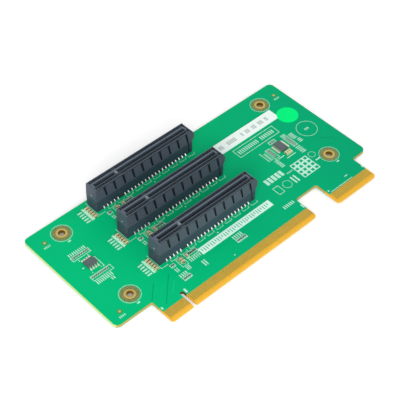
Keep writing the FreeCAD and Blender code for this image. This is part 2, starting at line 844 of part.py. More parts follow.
def make_chip_parts():
    """Resistor rows and capacitors that serve the two packaged chips, and those at the front edge."""
    small = size("chip_row_pitch")
    rows = row_of(9, -4.2, 1.0, 6.65) + row_of(9, -4.2, 1.0, -6.85)
    left = chip_group("left_chip_resistor", [(resistor(False), rows)])
    columns = column_of(6, -6.2, 2.0, small) + column_of(7, 6.0, 2.0, small)
    pair = row_of(2, -1.3, 1.4, 4.8)
    right = chip_group("right_chip_resistor", [(resistor(True), columns), (resistor(False), pair)])
    caps = chip_group("right_chip_capacitor", [(capacitor(False), row_of(3, -1.0, 1.2, -4.9))])
    pitch = size("front_row_pitch")
    front_rows = row_of(4, 5.8, pitch, 12.8) + row_of(5, 36.8, pitch, 12.8)
    front = chip_group("front_resistor", [(resistor(False), front_rows)])
    left_spot = ("-left_chip_x", "left_chip_y", TOP)
    right_spot = ("right_chip_x", "right_chip_y", TOP)
    groups = (("left_chip_resistor", left, left_spot), ("right_chip_resistor", right, right_spot),
              ("right_chip_capacitor", caps, right_spot), ("front_resistor", front, ("0", "0", TOP)))
    for name, forms, spot in groups:
        for piece, form in zip(("bodies", "terminals"), forms):
            node(grouped(f"{name}_{piece}_placed", [form], *spot), f"{name}_{piece}")


# ---------------------------------------------------------------- print and labels

# Printed shapes on the open board: left, front, right and back, in the shared frame.
FIELDS = {
    "aux_rule": (87.0, 5.2, 101.0, 5.45),
    "tab_end_mark": (71.2, 7.0, 71.9, 9.3),
    "tab_start_mark": (-11.6, 7.1, -10.9, 8.4),
    "key_mark": (1.5, 7.0, 2.4, 9.2),
    "middle_mark": (29.9, 7.9, 30.5, 8.4),
    "aux_mark": (98.6, 7.6, 100.4, 8.0),
    "aux_start_mark": (86.3, 6.2, 87.0, 7.0),
    "aux_end_mark": (109.0, 6.0, 109.4, 7.5),
    "left_chip_side": (-14.1, 40.8, -13.8, 47.6),
    "left_chip_side_foot": (-14.6, 40.8, -14.1, 41.1),
    "left_chip_side_head": (-14.6, 47.3, -14.1, 47.6),
    "left_chip_dot": (-21.9, 45.2, -21.1, 45.8),
    "left_chip_corner_a": (-20.35, 49.2, -20.05, 50.3),
    "left_chip_corner_b": (-15.55, 49.2, -15.25, 50.3),
    "left_chip_corner_c": (-20.15, 41.0, -19.85, 41.6),
    "left_chip_corner_d": (-15.45, 41.0, -15.15, 41.6),
    "right_caps_left": (84.6, 35.2, 88.2, 35.6),
    "right_caps_rule": (88.0, 33.0, 93.4, 33.4),
    "mark_stroke_a": (79.8, 19.6, 80.6, 24.0),
    "mark_stroke_b": (81.6, 19.6, 82.4, 24.0),
    "mark_rule": (96.6, 23.2, 99.4, 23.9),
}
FRAMES = {
    "title_box": (72.5, 47.6, 97.8, 53.2),
    "left_back_row": (-22.4, 50.75, -12.9, 53.3),
    "left_front_row": (-22.6, 37.0, -11.9, 40.0),
    "right_pair": (88.2, 44.2, 92.3, 46.2),
    "right_left_column": (83.3, 36.2, 86.3, 43.2),
    "right_right_column": (95.6, 36.3, 98.3, 43.2),
    "front_row_a": (5.2, 11.8, 9.6, 13.8),
    "front_row_b": (36.0, 11.8, 41.6, 13.8),
    "mark_box": (69.0, 19.4, 72.4, 24.2),
}
# Blocks of even bars, with their count: side by side, then one above the other.
UPRIGHT_BARS = {
    "title_first": (74.0, 49.2, 86.5, 51.6, 11),
    "title_second": (88.0, 49.2, 96.5, 51.6, 7),
    "ring_centre": (107.6, 40.1, 110.2, 41.4, 3),
    "hole_back_left": (-26.8, 64.3, -23.4, 65.3, 4),
    "hole_front_left": (-27.0, 15.2, -23.6, 16.2, 4),
    "hole_back_right": (111.8, 64.3, 115.2, 65.3, 4),
    "left_back_text": (-22.0, 53.7, -13.0, 55.4, 9),
    "left_front_text": (-22.2, 34.6, -13.6, 36.7, 9),
    "left_low_text": (-16.2, 32.6, -14.2, 34.2, 2),
    "front_text_a": (5.2, 14.1, 9.6, 15.9, 4),
    "front_text_b": (36.0, 14.1, 41.5, 16.2, 5),
    "front_small": (17.2, 12.0, 19.5, 15.2, 2),
    "front_right": (64.6, 11.8, 71.2, 13.6, 6),
    "mark_small_bars": (80.9, 26.0, 84.6, 26.8, 4),
}
# Heavier blocks, side by side.
BOLD_BARS = {
    "mark_bars": (69.2, 26.8, 80.4, 30.2, 5),
}
STACKED_BARS = {
    "right_far_left": (80.0, 37.0, 80.7, 44.0, 8),
    "right_left_text": (81.3, 37.0, 82.6, 42.6, 6),
    "right_low_text": (81.9, 30.6, 84.0, 36.2, 6),
    "right_column_head": (95.6, 43.6, 98.3, 45.8, 3),
    "right_column_foot": (95.6, 31.0, 98.3, 36.0, 5),
    "right_far_text": (98.9, 39.9, 101.5, 44.0, 5),
    "right_far_low": (100.0, 36.6, 102.1, 39.4, 3),
}


def field(left, front, right, back):
    """A printed field between two corners."""
    return slab(left, front, 0, right - left, back - front, size("ink"))


def frame_print(left, front, right, back):
    """A printed outline of one stroke between two corners."""
    line = size("stroke")
    inner = slab(left + line, front + line, -1, right - left - 2 * line, back - front - 2 * line, 3)
    return field(left, front, right, back).cut(inner)


def ring_print(x, y, radius):
    """A printed circle of one stroke about a point."""
    line, ink = size("ring_stroke"), size("ink")
    disc = Part.makeCylinder(radius + line / 2, ink, Vector(x, y, 0))
    return disc.cut(Part.makeCylinder(radius - line / 2, 3, Vector(x, y, -1)))


def bars_print(left, front, right, back, count, upright=True, share_name="bar_share"):
    """A block of even bars that fills a rectangle."""
    share = size(share_name)
    pitch = ((right - left) if upright else (back - front)) / count
    bars = []
    for k in range(count):
        start = (left if upright else front) + k * pitch
        if upright:
            bars.append(field(start, front, start + share * pitch, back))
        else:
            bars.append(field(left, start, right, start + share * pitch))
    return bars


def bracket_print(x, y, wide, tall, slant):
    """An open tray: a floor with two sides that lean outwards."""
    line = size("stroke") * 0.8
    half = wide / 2
    outer = [(-half - slant, tall), (-half, 0), (half, 0), (half + slant, tall)]
    inner = [(half + slant - line * 1.3, tall), (half - line * 0.6, line), (-half + line * 0.6, line),
             (-half - slant + line * 1.3, tall)]
    corners = [Vector(x + u, y + v, 0) for u, v in outer + inner]
    face = Part.Face(Part.makePolygon(corners + corners[:1]))
    return face.extrude(Vector(0, 0, size("ink")))


def slot_print(nudge):
    """The print round one slot, from its key and centre line, with its bank moved by the nudge."""
    line = size("stroke") * 0.8
    end = -size("housing_left")
    half = size("housing_half")
    tray = -half - size("tray_gap")
    shapes = [field(end - 0.5, tray, end - 0.5 + line, half + 0.6)]
    shapes.append(field(end - 0.5 + line, tray, end + 3.2, tray + line))
    middle = [k * size("tray_pitch") - size("tray_first") for k in range(int(size("tray_count")))]
    form = (size("tray_wide"), size("tray_tall"), size("tray_slant"))
    shapes += [bracket_print(x, tray, *form) for x in middle]
    bank_x = end - size("bank_from_end")
    low = nudge - size("bank_first") - 0.9
    high = low + size("bank_pitch") * size("bank_count") + 0.6
    shapes.append(field(bank_x - 2.3, low, bank_x - 1.2, high))
    count = int(size("bank_count"))
    shapes += bars_print(bank_x - 5.2, low + 0.3, bank_x - 2.8, high, count, upright=False)
    row = -half - size("row_gap")
    shapes.append(frame_print(-11.5, row - 1.2, -9.1, row + 0.8))
    shapes += bars_print(-11.2, row - 4.3, -9.3, row - 2.1, 2)
    shapes.append(frame_print(-7.7, row - 3.8, -4.2, row + 1.2))
    shapes += bars_print(-6.9, row - 6.4, -4.7, row - 4.1, 3)
    shapes.append(frame_print(-3.2, row - 1.8, 3.3, row + 1.25))
    shapes += bars_print(-3.0, row - 4.0, 3.2, row - 2.1, 6)
    shapes.append(field(16.1, row + 0.2, 16.6, row + 0.8))
    return shapes


def board_print():
    """The print on the open parts of the board: rings, fields, frames and blocks of bars."""
    shapes = []
    spots = hole_spots()
    for x, y, _ in spots:
        shapes.append(ring_print(x, y, size("land_radius") + 0.45))
    for x, y, _ in spots[:-1]:
        shapes.append(field(x - 1.0, y - 6.1, x + 0.4, y - 5.4))
    shapes.append(field(20.6, 17.2, 62.8, 21.0).cut(knock_outs(21.6, 62.0, 18.0, 20.2)))
    shapes.append(field(85.0, 19.2, 95.2, 29.0).cut(lattice(85.0, 19.2, 95.2, 29.0)))
    shapes.append(ring_print(size("sticker_x"), size("sticker_y") - 12.6, 5.0))
    shapes += [ring_print(76.2, 21.8, 2.2), ring_print(98.0, 27.4, 1.7)]
    shapes += [field(*bounds) for bounds in FIELDS.values()]
    shapes += [frame_print(*bounds) for bounds in FRAMES.values()]
    for bounds in UPRIGHT_BARS.values():
        shapes += bars_print(*bounds)
    for bounds in BOLD_BARS.values():
        shapes += bars_print(*bounds, share_name="bold_share")
    for bounds in STACKED_BARS.values():
        shapes += bars_print(*bounds, upright=False)
    return shapes


def knock_outs(left, right, low, high):
    """Short plain strokes of two lengths left open in a printed field."""
    pitch, wide, shy = 1.3, 0.4, 0.7
    strokes = []
    for k in range(int((right - left) / pitch)):
        start = low if k % 3 else low + shy
        strokes.append(slab(left + k * pitch, start, -1, wide, high - start, 3))
    return Part.makeCompound(strokes)


def lattice(left, front, right, back):
    """Square windows that turn a printed field into a lattice."""
    count = 4
    pitch_x, pitch_y = (right - left) / count, (back - front) / count
    margin = 0.5
    windows = []
    for i in range(count):
        for j in range(count):
            windows.append(slab(left + i * pitch_x + margin, front + j * pitch_y + margin, -1,
                                pitch_x - 2 * margin, pitch_y - 2 * margin, 3))
    return Part.makeCompound(windows)


def make_print():
    placed = []
    for number, y in SLOTS.items():
        shapes = slot_print(size(BANK_NUDGES[number]))
        form = repeated(f"slot_{number}_print_set", [(shape, [(0, 0, 0)]) for shape in shapes])
        placed.append(grouped(f"slot_{number}_print", [form], "slot_key", y))
    board_form = repeated("board_print_set", [(shape, [(0, 0, 0)]) for shape in board_print()])
    node(grouped("print_layer", placed + [board_form], z=TOP), "silkscreen")


def make_labels():
    """The round film sticker, and the paper label that stops at it."""
    disc = cylinder("sticker_disc", "sticker_radius", "paper", "sticker_x", "sticker_y", TOP)
    node(disc, "inspection_sticker")
    strip_form = box("label_strip", "label_right - label_left", "label_back - label_front", "paper",
                     "label_left", "label_front", TOP)
    node(cut("label", strip_form, disc), "serial_label")


def check_and_write():
    """Stop on any failed object or empty shape, then write one file for each sub-part."""
    doc.recompute()
    for item in doc.Objects:
        if "Invalid" in item.State or "Error" in item.State:
            raise RuntimeError(f"{item.Name} failed: {item.State}")
    for item in nodes:
        if item.Shape.isNull() or not item.Shape.isValid():
            raise RuntimeError(f"{item.Label} has no valid shape")
    os.makedirs("parts", exist_ok=True)
    for item in nodes:
        item.Shape.exportStep(f"parts/{item.Label}.step")
        print(f"{item.Label}: {len(item.Shape.Solids)} solids")


make_board()
make_platings()
make_fingers()
make_slots()
make_slot_parts()
make_packages()
make_chip_parts()
make_print()
make_labels()
check_and_write()
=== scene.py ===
"""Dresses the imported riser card: mask, gold, moulded slots, chip parts, print and labels."""
import logging
import math
from dataclasses import dataclass, field
from enum import Enum
from typing import Any, Iterable, Sequence

import bmesh
import bpy
from bmesh.types import BMesh, BMVert
from bpy.types import Material, Node, NodeSocket, NodeTree, Object
from mathutils import Matrix, Vector


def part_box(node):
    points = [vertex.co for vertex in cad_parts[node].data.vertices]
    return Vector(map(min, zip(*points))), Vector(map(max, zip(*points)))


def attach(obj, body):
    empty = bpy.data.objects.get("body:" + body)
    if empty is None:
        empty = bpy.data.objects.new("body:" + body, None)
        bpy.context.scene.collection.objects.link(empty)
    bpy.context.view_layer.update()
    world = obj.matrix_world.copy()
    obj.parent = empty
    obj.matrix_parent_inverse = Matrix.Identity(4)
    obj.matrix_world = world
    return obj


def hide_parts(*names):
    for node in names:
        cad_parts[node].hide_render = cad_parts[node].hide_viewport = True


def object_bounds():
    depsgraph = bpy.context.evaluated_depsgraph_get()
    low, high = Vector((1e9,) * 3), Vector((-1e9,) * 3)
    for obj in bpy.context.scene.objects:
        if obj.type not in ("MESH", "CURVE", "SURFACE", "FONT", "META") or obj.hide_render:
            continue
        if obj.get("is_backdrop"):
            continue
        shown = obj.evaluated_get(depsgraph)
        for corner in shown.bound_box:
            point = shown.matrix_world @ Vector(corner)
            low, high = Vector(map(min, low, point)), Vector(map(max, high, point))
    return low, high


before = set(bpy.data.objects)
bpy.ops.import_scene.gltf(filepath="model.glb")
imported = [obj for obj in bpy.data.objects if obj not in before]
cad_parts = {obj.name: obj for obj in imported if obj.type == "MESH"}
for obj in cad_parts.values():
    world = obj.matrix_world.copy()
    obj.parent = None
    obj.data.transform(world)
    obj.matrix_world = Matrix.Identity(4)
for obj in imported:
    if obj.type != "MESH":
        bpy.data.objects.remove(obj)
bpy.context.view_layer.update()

LOG = logging.getLogger("riser_card")
MM = 0.001                          # a millimetre, in metres
SAME_POINT = 1e-7                   # points nearer than this, in metres, are one point
SMOOTH_BELOW = math.radians(32)     # a gentler edge than this is shaded smooth
WAVE_PHASE = 20                     # radians that a wave texture turns through at a scale of one
FOOT_ROUNDING = 3                   # a solder foot's edges are rounded by its height over this
WHITE = (1.0, 1.0, 1.0, 1.0)

Corner = Sequence[float]
Range = tuple[float, float]
Box = tuple[Vector, Vector]
Feed = Node | NodeSocket


# ---------------------------------------------------------------- small helpers

def hex_colour(code: str) -> tuple[float, float, float, float]:
    """Turn an sRGB hex code into a linear colour.

    Args:
        code: six hex digits after a #.

    Returns:
        Linear red, green, blue and an alpha of one.
    """
    parts = [int(code[i:i + 2], 16) / 255 for i in (1, 3, 5)]
    linear = [p / 12.92 if p <= 0.04045 else ((p + 0.055) / 1.055) ** 2.4 for p in parts]
    return (linear[0], linear[1], linear[2], 1.0)


def metres(lengths_mm: Corner) -> tuple[float, ...]:
    """Turn millimetres into metres."""
    return tuple(length * MM for length in lengths_mm)


def per_mm(size_mm: float) -> float:
    """The scale of a pattern whose features are this many millimetres wide."""
    return 1 / (size_mm * MM)


def add_node(tree: NodeTree, kind: str, inputs: dict[Any, Any] | None = None, **settings: Any) -> Node:
    """Add a node, set its properties and fill or link its inputs.

    Args:
        tree: the node tree that gets it.
        kind: the node's class name.
        inputs: input name or index to a value, a hex colour, an output socket, or a node whose
            first enabled output is meant.
        **settings: properties of the node itself.

    Returns:
        The new node.
    """
    made = tree.nodes.new(kind)
    for name, value in settings.items():
        setattr(made, name, value)
    for key, value in (inputs or {}).items():
        if isinstance(value, Node):
            value = next(socket for socket in value.outputs if socket.enabled)
        if isinstance(value, NodeSocket):
            tree.links.new(value, made.inputs[key])
        else:
            made.inputs[key].default_value = hex_colour(value) if isinstance(value, str) else value
    return made


def new_material(name: str) -> tuple[Material, NodeTree, NodeSocket]:
    """Make a material with no surface yet.

    Args:
        name: the material's name.

    Returns:
        The material, its node tree and its Object coordinates.
    """
    material = bpy.data.materials.new(name)
    material.use_nodes = True
    material.node_tree.nodes.clear()
    spot = add_node(material.node_tree, "ShaderNodeTexCoord").outputs["Object"]
    return material, material.node_tree, spot


def close_surface(tree: NodeTree, inputs: dict[Any, Any]) -> None:
    """End a material with a Principled surface.

    Args:
        tree: the material's tree.
        inputs: the surface's inputs.
    """
    surface = add_node(tree, "ShaderNodeBsdfPrincipled", inputs)
    add_node(tree, "ShaderNodeOutputMaterial", {"Surface": surface})


def beyond(tree: NodeTree, value: Feed, limit_mm: float, below: bool = False) -> Node:
    """Where a length lies past a limit.

    Args:
        tree: the material's tree.
        value: the length, in metres.
        limit_mm: the limit.
        below: test for less instead of more.

    Returns:
        One where it does, zero elsewhere.
    """
    return add_node(tree, "ShaderNodeMath", {0: value, 1: limit_mm * MM},
                    operation="LESS_THAN" if below else "GREATER_THAN")


def all_of(tree: NodeTree, zone: Feed, *others: Feed) -> Feed:
    """Where several zones overlap.

    Args:
        tree: the material's tree.
        zone: the first zone.
        *others: the rest.

    Returns:
        Their product, which is one where all of them are one.
    """
    for other in others:
        zone = add_node(tree, "ShaderNodeMath", {0: zone, 1: other}, operation="MULTIPLY")
    return zone


def layered(tree: NodeTree, tone: Feed | str, *layers: tuple[Feed, Feed | str]) -> Feed:
    """Lay tones over a first one.

    Args:
        tree: the material's tree.
        tone: the first tone.
        *layers: for each, the share of it that shows, and its tone.

    Returns:
        The colour.
    """
    for share, over in layers:
        tone = add_node(tree, "ShaderNodeMix", {"Factor": share, "A": tone, "B": over}, data_type="RGBA")
    return tone


def outside_of(tree: NodeTree, spot: NodeSocket, centre_mm: Corner, half_mm: Corner) -> Node:
    """Where a point lies outside an upright rectangular column.

    Args:
        tree: the material's tree.
        spot: the point's coordinates.
        centre_mm: the column's middle.
        half_mm: half its width and depth.

    Returns:
        One outside it, zero inside.
    """
    away = add_node(tree, "ShaderNodeVectorMath", {0: spot, 1: metres(centre_mm)}, operation="SUBTRACT")
    folded = add_node(tree, "ShaderNodeVectorMath", {0: away}, operation="ABSOLUTE")
    ratio = add_node(tree, "ShaderNodeVectorMath", {0: folded, 1: metres(half_mm)}, operation="DIVIDE")
    sides = add_node(tree, "ShaderNodeSeparateXYZ", {0: ratio})
    furthest = add_node(tree, "ShaderNodeMath", {0: sides.outputs["X"], 1: sides.outputs["Y"]},
                        operation="MAXIMUM")
    return add_node(tree, "ShaderNodeMath", {0: furthest, 1: 1.0}, operation="GREATER_THAN")


def grained(tree: NodeTree, spot: NodeSocket, size_mm: float, detail: float, strength: float,
            depth_mm: float) -> tuple[Node, Node]:
    """Give a surface a fine relief.

    Args:
        tree: the material's tree.
        spot: the point's coordinates.
        size_mm: how wide a grain is.
        detail: how many finer steps it has.
        strength: share of the relief that shows.
        depth_mm: how deep it is.

    Returns:
        The surface's normal, and the grain that it follows.
    """
    grain = add_node(tree, "ShaderNodeTexNoise", {"Vector": spot, "Scale": per_mm(size_mm),
                                                  "Detail": detail})
    bump = add_node(tree, "ShaderNodeBump", {"Height": grain, "Strength": strength,
                                             "Distance": depth_mm * MM})
    return bump, grain


def dress(piece: Object, material: Material) -> None:
    """Give a piece one material.

    Args:
        piece: the object.
        material: what it is covered with.
    """
    piece.data.materials.clear()
    piece.data.materials.append(material)


def place_mesh(mesh: BMesh, name: str) -> Object:
    """Turn a bmesh into an object of the scene, and free it.

    Args:
        mesh: the finished shape.
        name: the object's name.

    Returns:
        The object, at the origin.
    """
    data = bpy.data.meshes.new(name)
    mesh.to_mesh(data)
    mesh.free()
    item = bpy.data.objects.new(name, data)
    bpy.context.scene.collection.objects.link(item)
    return item


def finish_piece(mesh: BMesh, name: str, material: Material,
                 stands_for: Iterable[str] = (), smooth: bool = False) -> None:
    """Turn a bmesh into a dressed piece that rides on the card.

    Args:
        mesh: the finished shape, which is freed.
        name: the piece's name.
        material: its finish.
        stands_for: CAD nodes that it replaces.
        smooth: whether gentle edges are shaded smooth.
    """
    bmesh.ops.recalc_face_normals(mesh, faces=mesh.faces)
    piece = place_mesh(mesh, name)
    if smooth:
        piece.data.shade_smooth()
        piece.data.set_sharp_from_angle(angle=SMOOTH_BELOW)
    dress(piece, material)
    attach(piece, "root")
    for node in stands_for:
        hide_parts(node)
    LOG.info("made %s", name)


def add_block(mesh: BMesh, low: Corner, high: Corner, rounding: float = 0.0, segments: int = 2) -> None:
    """Add a block with rounded edges.

    Args:
        mesh: the bmesh that gets it.
        low: lowest corner.
        high: highest corner.
        rounding: how far each edge is rounded, in metres.
        segments: steps in each rounded edge.
    """
    extent = Vector(high) - Vector(low)
    middle = (Vector(high) + Vector(low)) / 2
    matrix = Matrix.Translation(middle) @ Matrix.Diagonal((*extent, 1.0))
    made: list[BMVert] = bmesh.ops.create_cube(mesh, size=1.0, matrix=matrix)["verts"]
    if rounding > 0:
        edges = list({edge for vert in made for edge in vert.link_edges})
        bmesh.ops.bevel(mesh, geom=edges, offset=rounding, offset_type="OFFSET", segments=segments,
                        profile=0.5, affect="EDGES", material=-1, clamp_overlap=True)


def islands(node: str) -> list[Box]:
    """The box of each separate solid in a CAD node.

    Args:
        node: the node's name.

    Returns:
        Lowest and highest corner of each solid.
    """
    mesh = bmesh.new()
    mesh.from_mesh(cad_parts[node].data)
    bmesh.ops.remove_doubles(mesh, verts=mesh.verts, dist=SAME_POINT)
    unseen = set(mesh.verts)
    boxes = []
    while unseen:
        queue = [unseen.pop()]
        group = []
        while queue:
            vert = queue.pop()
            group.append(vert.co.copy())
            for edge in vert.link_edges:
                other = edge.other_vert(vert)
                if other in unseen:
                    unseen.discard(other)
                    queue.append(other)
        low = Vector([min(c[i] for c in group) for i in range(3)])
        high = Vector([max(c[i] for c in group) for i in range(3)])
        boxes.append((low, high))
    mesh.free()
    return sorted(boxes, key=lambda b: tuple(round(v, 6) for v in b[0]))


# ---------------------------------------------------------------- finishes

@dataclass(frozen=True)
class SolderMask:
    """Green light-cured mask over a woven glass laminate, whose cut edges show resin and glass.

    The mask is a thin even lacquer, so it reads as one saturated green that deepens slowly from the
    back left to the front right. Its cut edges are matt: straw on most sides, a paler green on the
    scored left side. The end wall of the key notch is painted dark brown as shade. The ground bevels
    are amber.
    """
    mask: str = "#00BC78"
    mask_deep: str = "#00A271"
    bevel: str = "#EEBB45"
    bevel_dark: str = "#E2AC38"
    sawn: str = "#BFB366"
    sawn_dark: str = "#A99C54"
    scored: str = "#CDE490"
    # Painted shade for the far end wall of the key notch.
    key_end_shade: str = "#54451F"
    half_thickness_mm: float = 0.785
    film_mm: float = 0.02
    mask_edge_mm: float = 6.1
    bevel_end_mm: float = 8.8
    aux_drop_mm: float = 1.3
    aux_from_mm: float = 80.0
    left_edge_mm: float = -30.9
    edge_reach_mm: float = 0.4
    key_half_mm: float = 1.3
    key_end_mm: float = 7.9
    key_reach_mm: float = 1.4
    mottle_mm: float = 30.0
    mottle_share: float = 0.5
    slant: Corner = (1.0, -0.8, 0.0)
    plane_mm: Range = (-20.0, 110.0)
    plane_share: Range = (-0.15, 0.7)
    weave_mm: float = 0.6
    layer_mm: float = 0.22
    cut_roughness: float = 0.7
    mask_roughness: float = 0.42

    def past(self, tree: NodeTree, axes: Node, reach_mm: float) -> Node:
        """Where a point lies further from the gold edge than a distance from its own tab's tip.

        Args:
            tree: the material's tree.
            axes: the node that gives the point's coordinates.
            reach_mm: the distance.

        Returns:
            One beyond it, none before it.
        """
        aux = beyond(tree, axes.outputs["X"], self.aux_from_mm)
        line = add_node(tree, "ShaderNodeMath", {0: aux, 1: -self.aux_drop_mm * MM, 2: reach_mm * MM},
                        operation="MULTIPLY_ADD")
        return add_node(tree, "ShaderNodeMath", {0: axes.outputs["Y"], 1: line}, operation="GREATER_THAN")

    def green(self, tree: NodeTree, spot: NodeSocket) -> Feed:
        """Colour the mask.

        Args:
            tree: the material's tree.
            spot: the point's coordinates.

        Returns:
            Its green, which deepens along the slant.
        """
        mottle = add_node(tree, "ShaderNodeTexNoise", {"Vector": spot, "Scale": per_mm(self.mottle_mm),
                                                       "Detail": 3.0, "Roughness": 0.55})
        slant = add_node(tree, "ShaderNodeVectorMath", {0: spot, 1: self.slant}, operation="DOT_PRODUCT")
        near, far = metres(self.plane_mm)
        least, most = self.plane_share
        plane = add_node(tree, "ShaderNodeMapRange", {"Value": slant, "From Min": near, "From Max": far,
                                                      "To Min": least, "To Max": most})
        share = add_node(tree, "ShaderNodeMath", {0: mottle, 1: self.mottle_share, 2: plane},
                         operation="MULTIPLY_ADD", use_clamp=True)
        return layered(tree, self.mask, (share, self.mask_deep))

    def cut(self, tree: NodeTree, spot: NodeSocket, axes: Node) -> Feed:
        """Colour the board where no mask covers it.

        Args:
            tree: the material's tree.
            spot: the point's coordinates.
            axes: the node that gives them one by one.

        Returns:
            The tone of the bevels, the sawn and scored sides and the notch.
        """
        layers = add_node(tree, "ShaderNodeTexWave", {
            "Vector": spot, "Scale": per_mm(self.layer_mm) / WAVE_PHASE, "Distortion": 1.5},
            bands_direction="Z").outputs["Fac"]
        left = add_node(tree, "ShaderNodeMath", {0: axes.outputs["X"], 1: self.left_edge_mm * MM,
                                                 2: self.edge_reach_mm * MM}, operation="COMPARE")
        # Painted shade: the end wall of the key notch is coloured dark brown, where shadow falls.
        beside = add_node(tree, "ShaderNodeMath", {0: axes.outputs["X"], 1: 0.0, 2: self.key_half_mm * MM},
                          operation="COMPARE")
        deep = add_node(tree, "ShaderNodeMath", {0: axes.outputs["Y"], 1: self.key_end_mm * MM,
                                                 2: self.key_reach_mm * MM}, operation="COMPARE")
        ground = layered(tree, self.bevel, (layers, self.bevel_dark))
        side = layered(tree, self.sawn, (layers, self.sawn_dark), (left, self.scored))
        return layered(tree, ground, (self.past(tree, axes, self.bevel_end_mm), side),
                       (all_of(tree, beside, deep), self.key_end_shade))

    def build(self) -> Material:
        """Make the material.

        Returns:
            The material, which reads Object coordinates.
        """
        material, tree, spot = new_material("solder_mask_on_laminate")
        axes = add_node(tree, "ShaderNodeSeparateXYZ", {0: spot})
        height = add_node(tree, "ShaderNodeMath", {0: axes.outputs["Z"]}, operation="ABSOLUTE")
        masked = all_of(tree, beyond(tree, height, self.half_thickness_mm - self.film_mm),
                        self.past(tree, axes, self.mask_edge_mm))
        colour = layered(tree, self.cut(tree, spot, axes), (masked, self.green(tree, spot)))
        rough = add_node(tree, "ShaderNodeMapRange", {"Value": masked, "To Min": self.cut_roughness,
                                                      "To Max": self.mask_roughness})
        bump, _ = grained(tree, spot, self.weave_mm, detail=2.0, strength=0.12, depth_mm=0.02)
        close_surface(tree, {"Base Color": colour, "Roughness": rough, "Normal": bump, "IOR": 1.5,
                             "Specular IOR Level": 0.04})
        return material


@dataclass(frozen=True)
class HoleLand:
    """The eyelet of a mounting hole: a bright raised gold rim inside a broad, stippled, dull land.

    Screw lands are gold over a plane stitched with many small vias, so outside the rim they look
    brownish grey and speckled.
    """
    rim: str = "#C4AE62"
    land: str = "#979C66"
    land_dark: str = "#6A744C"
    wall: str = "#B08A38"
    centre_mm: Corner = (44.0, 44.55, 0.0)
    reach_mm: Corner = (60.0, 22.35, 0.0)
    rim_mm: float = 2.6
    bore_mm: float = 1.66
    speckle_mm: float = 0.45
    speckle_span: Range = (0.38, 0.62)
    rim_roughness: float = 0.36
    land_roughness: float = 0.6

    def build(self) -> Material:
        """Make the material.

        Returns:
            The material, which reads Object coordinates.
        """
        material, tree, spot = new_material("gold_eyelet_and_stitched_land")
        away = add_node(tree, "ShaderNodeVectorMath", {0: spot, 1: metres(self.centre_mm)},
                        operation="SUBTRACT")
        folded = add_node(tree, "ShaderNodeVectorMath", {0: away}, operation="ABSOLUTE")
        local = add_node(tree, "ShaderNodeVectorMath", {0: folded, 1: metres(self.reach_mm)},
                         operation="SUBTRACT")
        flat = add_node(tree, "ShaderNodeVectorMath", {0: local, 1: (1.0, 1.0, 0.0)}, operation="MULTIPLY")
        radius = add_node(tree, "ShaderNodeVectorMath", {0: flat}, operation="LENGTH")
        outside = beyond(tree, radius, self.rim_mm)
        bump, speckle = grained(tree, spot, self.speckle_mm, detail=2.0, strength=0.4, depth_mm=0.03)
        low, high = self.speckle_span
        share = add_node(tree, "ShaderNodeMapRange", {"Value": speckle, "From Min": low, "From Max": high})
        tone = layered(tree, self.rim, (outside, layered(tree, self.land_dark, (share, self.land))),
                       (beyond(tree, radius, self.bore_mm, below=True), self.wall))
        rough = add_node(tree, "ShaderNodeMapRange", {"Value": outside, "To Min": self.rim_roughness,
                                                      "To Max": self.land_roughness})
        close_surface(tree, {"Base Color": tone, "Roughness": rough, "Metallic": 1.0, "Normal": bump})
        return material


@dataclass(frozen=True)
class SpringContact:
    """Stamped phosphor bronze: gold where it touches a card, tinned below so that it takes solder.

    The springs' gold is painted dim grey-brown as the shade down in the mouth; the tails are pale and
    bright.
    """
    # Painted shade: the gold is dimmed to grey-brown as the shade in the mouth.
    gold: str = "#5C574A"
    tin: str = "#EEF0EC"
    tinned_to_mm: float = 4.5
    patch_mm: float = 1.2
    roughness: Range = (0.3, 0.5)

    def build(self) -> Material:
        """Make the material.

        Returns:
            The material, which reads Object coordinates.
        """
        material, tree, spot = new_material("gold_and_tin_on_phosphor_bronze")
        axes = add_node(tree, "ShaderNodeSeparateXYZ", {0: spot})
        # Above the tinned height the gold carries painted shade.
        tone = layered(tree, self.tin, (beyond(tree, axes.outputs["Z"], self.tinned_to_mm), self.gold))
        patch = add_node(tree, "ShaderNodeTexNoise", {"Vector": spot, "Scale": per_mm(self.patch_mm)})
        low, high = self.roughness
        rough = add_node(tree, "ShaderNodeMapRange", {"Value": patch, "To Min": low, "To Max": high})
        close_surface(tree, {"Base Color": tone, "Roughness": rough, "Metallic": 1.0})
        return material


@dataclass(frozen=True)
class PlatedMetal:
    """Thin plate over copper or brass: gold on fingers and lands, bright tin on solder and end caps.

    Plating is smooth but not polished, so it gives a soft sheen with a faint change of tone from
    one spot to the next. Its crystals are far too fine to show, so the grain is drawn coarser.
    """
    name: str
    tone: str
    tone_worn: str
    roughness: float
    smoothest: float = 0.8
    roughest: float = 1.25
    patch_mm: float = 2.5
    grain_mm: float = 0.15

    def build(self) -> Material:
        """Make the material.

        Returns:
            The material, which reads Object coordinates.
        """
        material, tree, spot = new_material(self.name)
        patch = add_node(tree, "ShaderNodeTexNoise", {"Vector": spot, "Scale": per_mm(self.patch_mm),
                                                      "Detail": 3.0})
        tone = layered(tree, self.tone, (patch, self.tone_worn))
        rough = add_node(tree, "ShaderNodeMapRange", {"Value": patch,
                                                      "To Min": self.roughness * self.smoothest,
                                                      "To Max": min(1.0, self.roughness * self.roughest)})
        bump, _ = grained(tree, spot, self.grain_mm, detail=1.0, strength=0.1, depth_mm=0.01)
        close_surface(tree, {"Base Color": tone, "Roughness": rough, "Metallic": 1.0, "Normal": bump})
        return material


